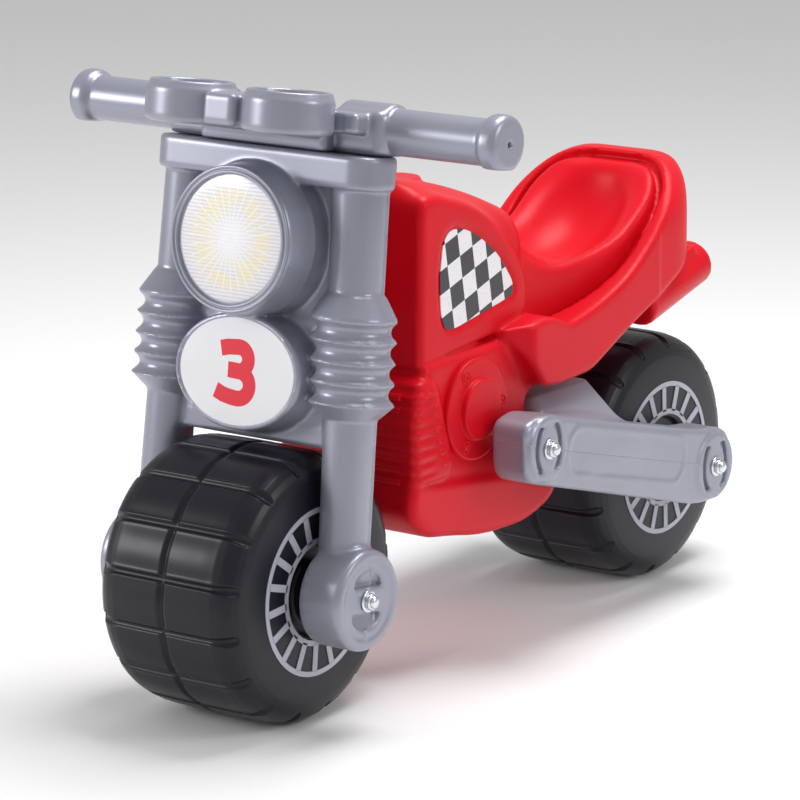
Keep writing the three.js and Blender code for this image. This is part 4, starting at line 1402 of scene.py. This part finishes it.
def ribbon(name: str, path: Array, width: float, heights: Pair, place: Matrix) -> bpy.types.Object:
    """A flat closed strip that follows a path.

    Args:
        name: the object's name.
        path: (u, v) points of its middle line.
        width: across the strip.
        heights: its underside and its top.
        place: takes the points to the part's metres.

    Returns:
        The object, linked to the scene.
    """
    forward = np.gradient(path, axis=0)
    forward /= np.linalg.norm(forward, axis=1)[:, None]
    side = np.stack([-forward[:, 1], forward[:, 0]], axis=1) * width / 2
    left, right = path + side, path - side
    rows = np.concatenate([
        np.column_stack([edge, np.full(len(path), height)])
        for edge, height in ((left, heights[0]), (right, heights[0]), (right, heights[1]),
                             (left, heights[1]))])
    n = len(path)
    faces = []
    for i in range(n - 1):
        for a in range(4):
            b = (a + 1) % 4
            faces.append([a * n + i, b * n + i, b * n + i + 1, a * n + i + 1][::-1])
    faces.append([0, n, 2 * n, 3 * n])
    faces.append([n - 1, 4 * n - 1, 3 * n - 1, 2 * n - 1])
    return faceted(mesh_object(name, rows, faces, place))


# ---- the handlebar ------------------------------------------------------------------------------


@dataclass
class Handlebar:
    """Grips, collars and twin instrument pods on one moulded bar."""

    cell: float = 1.7
    bar: Pair = (13.0, 365.0)
    foot: float = 345.5
    pod: Pair = (47.6, -52.0)
    bore: float = 5.8
    base: Brick = ((0, 2, 351), (60, 21, 5.5), 3)
    rail: Brick = ((0, -15, 353), (62, 6.5, 8), 4)
    bridge: Brick = ((0, -49, 373.5), (15, 31, 12.5), 4)
    backs: Brick = ((0, -4, 366), (60, 30, 10), 5)
    stem: Brick = ((0, 18, 359), (33, 26, 14), 5)
    struts: Brick = ((74, -13, 370), (20, 14, 8), 4)
    clamps: Brick = ((81.5, 11, 363), (23.5, 20.5, 17.5), 6)
    slots: Brick = ((72, -30, 372), (11, 4.5, 20), 3)
    crown_room: Brick = ((0, 10, 330), (106, 60, 15.4), 0)

    def grips(self, block: Block) -> Array:
        """Both grips, with their end caps and collars."""
        y, z = self.bar
        grip = block.disc_x(y, z, 18.3, (60, 200), 2)
        cap = block.disc_x(y, z, 23, (192, 211), 6.5)
        dimple = np.maximum(np.hypot(block.y - y, block.z - z) - 2.4, 205 - np.abs(block.x))
        collar = soft_min(block.disc_x(y, z, 21.5, (58, 105), 2.5),
                          block.box(*self.clamps, mirror=True), 4)
        return welded(grip, (carve(cap, dimple, 0.8), 2), (collar, 1.5))

    def pods(self, block: Block) -> Array:
        """Both pods, each with a stepped rim and a shallow dish."""
        drum, rim, dish, ring = (
            block.disc_z(*self.pod, radius, heights, rounding, mirror=True)
            for radius, heights, rounding in ((36.4, (359, 389), 5), (33.8, (370, 392), 2),
                                              (28.5, (386, 420), 1), (24.5, (370, 387.5), 1)))
        return soft_min(carve(soft_min(drum, rim, 1.5), dish, 2), ring, 1.5)

    def distance(self, block: Block) -> Array:
        """The whole handlebar as a distance field in the leaning frame."""
        whole = welded(self.grips(block), (block.box(*self.base), 2),
                       (block.box(*self.rail), 2.5), (block.box(*self.struts, mirror=True), 2.5),
                       (block.box(*self.backs), 2.5), (block.box(*self.stem), 2.5),
                       (block.box(*self.bridge), 2.5), (self.pods(block), 2.0))
        x, y = self.pod
        slot = np.maximum(block.box(*self.slots, mirror=True),
                          35.5 - np.hypot(np.abs(block.x) - x, block.y - y))
        whole = soft_max(carve(whole, slot, 1.5), self.foot - block.z, 1.0)
        pin = np.hypot(block.x, block.y - STEM_Y) - self.bore
        well = block.disc_z(0, STEM_Y, 13, (373, 420), 1)
        return carve(carve(carve(whole, block.box(*self.crown_room)), pin), well, 1)

    def build(self, palette: Palette) -> None:
        """Makes the handlebar."""
        block = Block((-214, -92, 342), (214, 48, 396), self.cell)
        item = block.mesh("moulded_handlebar", self.distance(block), raked())
        dress(item, palette.grey, Body.STEERING, "grey_frame", "handlebar")


# ---- the wheels ---------------------------------------------------------------------------------


@dataclass
class Wheel:
    """A wide hollow wheel with a grooved tread, a sunk hub and printed spokes."""

    name: str
    body: Body
    centre_y: float
    groove_phase: float
    spoke_phase: float
    grooves: int = 16
    spokes: int = 18
    radius: float = 110.0
    spoke_circle: float = 0.0533
    spoke_size: Triple = (0.0225, 0.0060, 0.0006)
    rings: tuple[Pair, ...] = ((0.0662, 0.0042), (0.0414, 0.0044))
    spoke_face: float = 0.07145
    profile: tuple[Pair, ...] = (
        (0, 110), (20, 110), (38, 109.8), (48, 109.2), (55, 107.8), (60, 105.6), (64.5, 102),
        (67.5, 97), (69.2, 91), (70.0, 84), (70.6, 76), (71, 69.5), (71, 60), (71, 50), (71, 41),
        (70.6, 37.8), (69, 36.4), (64, 35.4), (62, 33.5), (62, 27), (64, 24), (70, 22.8),
        (75.5, 22), (77, 20.8), (77, 14), (77, 9.4))

    def section(self) -> Array:
        """The half section as closely spaced (x, radius) points, tread first."""
        corners = np.array(self.profile, float)
        run = np.concatenate([[0], np.cumsum(np.hypot(*np.diff(corners, axis=0).T))])
        samples = [0, 0.7, 1.4, 2.1, 2.8, 3.6]
        samples += list(np.arange(5.5, 44, 3.5)) + list(np.arange(44, 84, 1.3))
        samples += list(np.arange(84, run[-1], 2.2)) + [run[-1]]
        return np.column_stack([np.interp(samples, run, corners[:, 0]),
                                np.interp(samples, run, corners[:, 1]), samples])

    def angles(self) -> Array:
        """Angles round the wheel, close together at the grooves."""
        sector = 360 / self.grooves
        fine = np.arange(-3.2, 3.21, 0.32)
        coarse = np.linspace(3.2, sector - 3.2, 11)[1:-1]
        one = np.concatenate([fine, coarse])
        return np.concatenate([one + self.groove_phase + i * sector for i in range(self.grooves)])

    def sink(self, angle: Array, run: Array, x: Array) -> Array:
        """How deep the tread is sunk at an angle and a distance along the section."""
        sector = 360 / self.grooves
        offset = np.mod(angle - self.groove_phase + sector / 2, sector) - sector / 2
        away = np.abs(np.radians(offset) * self.radius)
        width = np.interp(run, [0, 46, 54, 60, 67, 70.5, 72], [2.0, 2.1, 2.5, 3.6, 3.6, 2.2, 0.01])
        depth = np.interp(run, [0, 46, 54, 60, 68, 72], [2.3, 2.4, 2.8, 3.6, 3.2, 0.0])
        groove = depth * np.clip(1 - (away / (width + 0.9)) ** 2, 0, 1) ** 0.8
        lip = 0.35 * np.exp(-((away - width - 1.8) / 1.2) ** 2) * (run < 52)
        centre = 2.2 * np.clip(1 - np.abs(x) / 3.2, 0, 1) ** 0.7
        flow = 0.25 * (1 - np.cos(np.radians(offset) * self.grooves)) * (run < 60)
        crown = 1.1 * (1 - flow * 2) * (run < 60) * np.interp(run, [0, 40, 60], [1, 1, 0])
        return np.maximum(groove, centre) - lip + np.maximum(crown, 0)

    def build(self, palette: Palette, nodes: dict[str, bpy.types.Object]) -> None:
        """Makes the wheel and its printed spokes, and gives its bushes their finish."""
        half = self.section()
        both = np.concatenate([half[::-1] * [-1, 1, 1], half[1:]])
        angles = self.angles()
        x, radius, run = (both[:, i][:, None] for i in range(3))
        sunk = radius - self.sink(angles[None], run, x)
        sunk = np.where(radius > 90, np.minimum(sunk, self.radius), radius)
        turn = np.radians(angles)[None]
        points = np.stack([np.broadcast_to(x, sunk.shape), -sunk * np.cos(turn) + self.centre_y,
                           sunk * np.sin(turn) + AXLE_Z], axis=-1)
        rows, columns = sunk.shape
        index = np.arange(rows * columns).reshape(rows, columns)
        ahead = np.roll(index, -1, axis=1)
        quads = np.stack([index[:-1], index[1:], ahead[1:], ahead[:-1]], axis=-1).reshape(-1, 4)
        bore = np.stack([index[-1], index[0], ahead[0], ahead[-1]], axis=-1)
        faces = np.concatenate([quads, bore])[:, ::-1]
        item = mesh_object(f"{self.name}_moulded_wheel", points.reshape(-1, 3), faces, upright())
        dress(item, palette.black, self.body, "black_wheel", f"{self.name}_wheel")
        for side, _ in SIDES:
            bush = nodes[f"{self.name}_hub_bush_{side}"]
            repaint(bush, palette.black)
        self.print_spokes(palette)

    def print_spokes(self, palette: Palette) -> None:
        """The silver spoke print on both sides: two rings joined by bars."""
        length, breadth, thick = self.spoke_size
        tree = Tree(f"{self.name}_spoke_print")
        count, width = tree.size("Spokes", self.spokes), tree.size("Spoke width", breadth)
        faces = []
        for _, side in SIDES:
            circle = tree.node("GeometryNodeMeshCircle", inputs={
                "Vertices": count, "Radius": self.spoke_circle})
            outwards = tree.node("FunctionNodeAlignEulerToVector", dict(axis="X"), {
                "Vector": tree.node("GeometryNodeInputPosition")})
            bar = tree.node("GeometryNodeMeshCube", inputs={
                "Size": tree.node("ShaderNodeCombineXYZ", inputs={0: length, 1: width, 2: thick})})
            parts = [tree.copies(circle, bar, Rotation=outwards)]
            for radius, band in self.rings:
                section = tree.node("GeometryNodeCurvePrimitiveQuadrilateral",
                                    inputs={"Width": band, "Height": thick})
                ring = tree.node("GeometryNodeCurvePrimitiveCircle",
                                 inputs={"Resolution": 96, "Radius": radius})
                parts.append(tree.node("GeometryNodeCurveToMesh", inputs={
                    "Curve": ring, "Profile Curve": section}))
            flat = tree.node("GeometryNodeJoinGeometry", inputs={0: parts})
            spun = tree.moved(flat, (0, 0, 0), (0, 0, math.radians(self.spoke_phase)))
            faces.append(tree.moved(
                spun, (side * self.spoke_face, self.centre_y * MM, AXLE_Z * MM),
                (0, side * QUARTER_TURN, 0)))
        item = faceted(tree.finish(f"{self.name}_printed_spokes", faces, palette.silver))
        dress(item, palette.silver, self.body, "spoke_print",
              f"{self.name}_spoke_sticker_left", f"{self.name}_spoke_sticker_right")


# ---- rods, washers and nuts ---------------------------------------------------------------------


@dataclass
class Fasteners:
    """Washers and capped hexagon nuts at the ends of the rods of one body."""

    name: str
    body: Body
    places: tuple[tuple[str, Matrix], ...]

    def build(self, palette: Palette) -> None:
        """Makes the washers and nuts, one mesh for the body."""
        washer = hidden_template("washer", [
            (0, 0.2), (8.6, 0.2), (9.0, 0.6), (9.0, 1.2), (8.4, 1.75), (6.5, 1.85), (0, 1.85)], 48)
        nut = faceted(hidden_template("nut", [
            (0, 1.9), (6.6, 1.9), (7.3, 2.4), (7.3, 5.0), (6.7, 5.7), (0, 5.7)], 6))
        dome = hidden_template("dome", [(0, 5.0), (5.0, 5.0), (5.0, 6.4), (4.7, 7.6), (3.8, 8.5),
                                        (2.0, 9.1), (0, 9.25)], 40)
        tree = Tree(f"{self.name}_fasteners")
        templates = (washer, nut, dome)
        parts = tree.node("GeometryNodeJoinGeometry", inputs={
            0: [tree.template(part) for part in templates]})
        placed = []
        for _, place in self.places:
            spot, turn, _ = place.decompose()
            placed.append(tree.moved(parts, tuple(spot), tuple(turn.to_euler())))
        item = tree.finish(f"{self.name}_washers_and_nuts", placed, palette.zinc)
        for part in templates:
            bpy.data.objects.remove(part)
        named = [node.replace("@", kind) for node, _ in self.places
                 for kind in ("washer", "cap_nut")]
        dress(item, palette.zinc, self.body, "zinc_hardware", *named)


@dataclass
class Hardware:
    """Every rod, with the washers and nuts at its ends."""

    frame_x: float = 124.5
    steering_x: float = 119.5
    pin_ends: tuple[tuple[str, float, float], ...] = (("top", 373.0, 0), ("bottom", 170.0, 180))

    def build(self, palette: Palette, nodes: dict[str, bpy.types.Object]) -> None:
        """Makes the washers and nuts, and gives the rods their finish."""
        frame = [(f"{rod}_@_{name}", facing_out(side, self.frame_x, y, z))
                 for rod, y, z in (("pivot_rod", PIVOT_Y, PIVOT_Z),
                                   ("rear_axle", REAR_AXLE_Y, AXLE_Z)) for name, side in SIDES]
        steering = [(f"front_axle_@_{name}", facing_out(side, self.steering_x, FRONT_AXLE_Y,
                                                        AXLE_Z)) for name, side in SIDES]
        for name, height, flip in self.pin_ends:
            spot = raked() @ Matrix.Translation((0, STEM_Y, height)) @ Matrix.Scale(1 / MM, 4)
            steering.append((f"steering_pin_@_{name}", spot @ Matrix.Rotation(
                math.radians(flip), 4, "X")))
        Fasteners("frame", Body.FRAME, tuple(frame)).build(palette)
        Fasteners("steering", Body.STEERING, tuple(steering)).build(palette)
        for rod in ("pivot_rod", "rear_axle", "front_axle", "steering_pin"):
            repaint(nodes[rod], palette.zinc)


# ---- floor, light and camera --------------------------------------------------------------------


@dataclass
class Studio:
    """A pale floor, soft lights and the camera."""

    azimuth: float = 36.03
    elevation: float = 13.67
    roll: float = -0.44
    distance: float = 3.34004
    lens: float = 180.0
    target: Triple = (-0.00808, -0.0345, 0.20964)
    floor_half: float = 14.0
    room_light: float = 0.50
    boxes: tuple[tuple[str, Triple, float, float], ...] = (
        ("left_box", (-1.8, -2.0, 1.1), 0.9, 28), ("right_box", (2.3, 0.3, 1.5), 0.9, 14),
        ("top_box", (0.2, 0.5, 2.2), 1.1, 38))

    def floor(self) -> None:
        """A wide plain floor."""
        bench = Bench("pale_floor")
        cloud = bench.noise(1.2, 2.0)
        bench.surface(Base_Color=bench.mix(cloud, (0.90, 0.90, 0.90, 1), (0.93, 0.93, 0.93, 1)),
                      Roughness=0.75)
        size = self.floor_half
        item = mesh_object("floor", np.array([(-size, -size, 0), (size, -size, 0), (size, size, 0),
                                              (-size, size, 0)]), [[0, 1, 2, 3]], Matrix())
        item.data.materials.append(bench.material)

    def lamp(self, name: str, spot: Triple, size: float, power: float) -> None:
        """A soft square lamp that faces the toy."""
        light = bpy.data.lights.new(name, "AREA")
        light.shape = "SQUARE"
        light.size, light.energy = size, power
        item = bpy.data.objects.new(name, light)
        item.location = spot
        aim = Vector((0, 0, 0.25)) - Vector(spot)
        item.rotation_euler = aim.to_track_quat("-Z", "Y").to_euler()
        bpy.context.scene.collection.objects.link(item)

    def lights(self) -> None:
        """Soft boxes all round, and a white room."""
        world = bpy.data.worlds.new("white_room")
        world.use_nodes = True
        colour, strength = world.node_tree.nodes["Background"].inputs[:2]
        colour.default_value = (1, 1, 1, 1)
        strength.default_value = self.room_light
        bpy.context.scene.world = world
        for box in self.boxes:
            self.lamp(*box)

    def camera(self) -> None:
        """The camera, with its slight roll."""
        a, e, r = (math.radians(v) for v in (self.azimuth, self.elevation, self.roll))
        back = Vector((math.sin(a) * math.cos(e), -math.cos(a) * math.cos(e), math.sin(e)))
        right = Vector((math.cos(a), math.sin(a), 0))
        up = back.cross(right)
        right, up = (right * math.cos(r) + up * math.sin(r), up * math.cos(r) - right * math.sin(r))
        view = bpy.data.cameras.new("camera")
        view.lens, view.sensor_width, view.clip_end = self.lens, 36.0, 100.0
        item = bpy.data.objects.new("camera", view)
        turn = Matrix((right, up, back)).transposed()
        item.matrix_world = Matrix.Translation(
            Vector(self.target) + back * self.distance) @ turn.to_4x4()
        bpy.context.scene.collection.objects.link(item)
        bpy.context.scene.camera = item

    def build(self) -> None:
        """Sets the studio up."""
        bpy.context.scene.view_settings.view_transform = "Standard"
        self.floor()
        self.lights()
        self.camera()


def main() -> None:
    """Builds every piece over the frame."""
    logging.basicConfig(level=logging.INFO, format="%(name)s %(message)s")
    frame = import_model()
    nodes = frame["nodes"]
    Studio().build()
    palette = Palette()
    RedBody().build(palette)
    Swingarm().build(palette)
    Fork().build(palette)
    Handlebar().build(palette)
    Wheel("front", Body.FRONT_WHEEL, FRONT_AXLE_Y, 12.5, 14.0).build(palette, nodes)
    Wheel("rear", Body.REAR_WHEEL, REAR_AXLE_Y, 6.0, 2.0).build(palette, nodes)
    Hardware().build(palette, nodes)


if __name__ == "__main__":
    main()
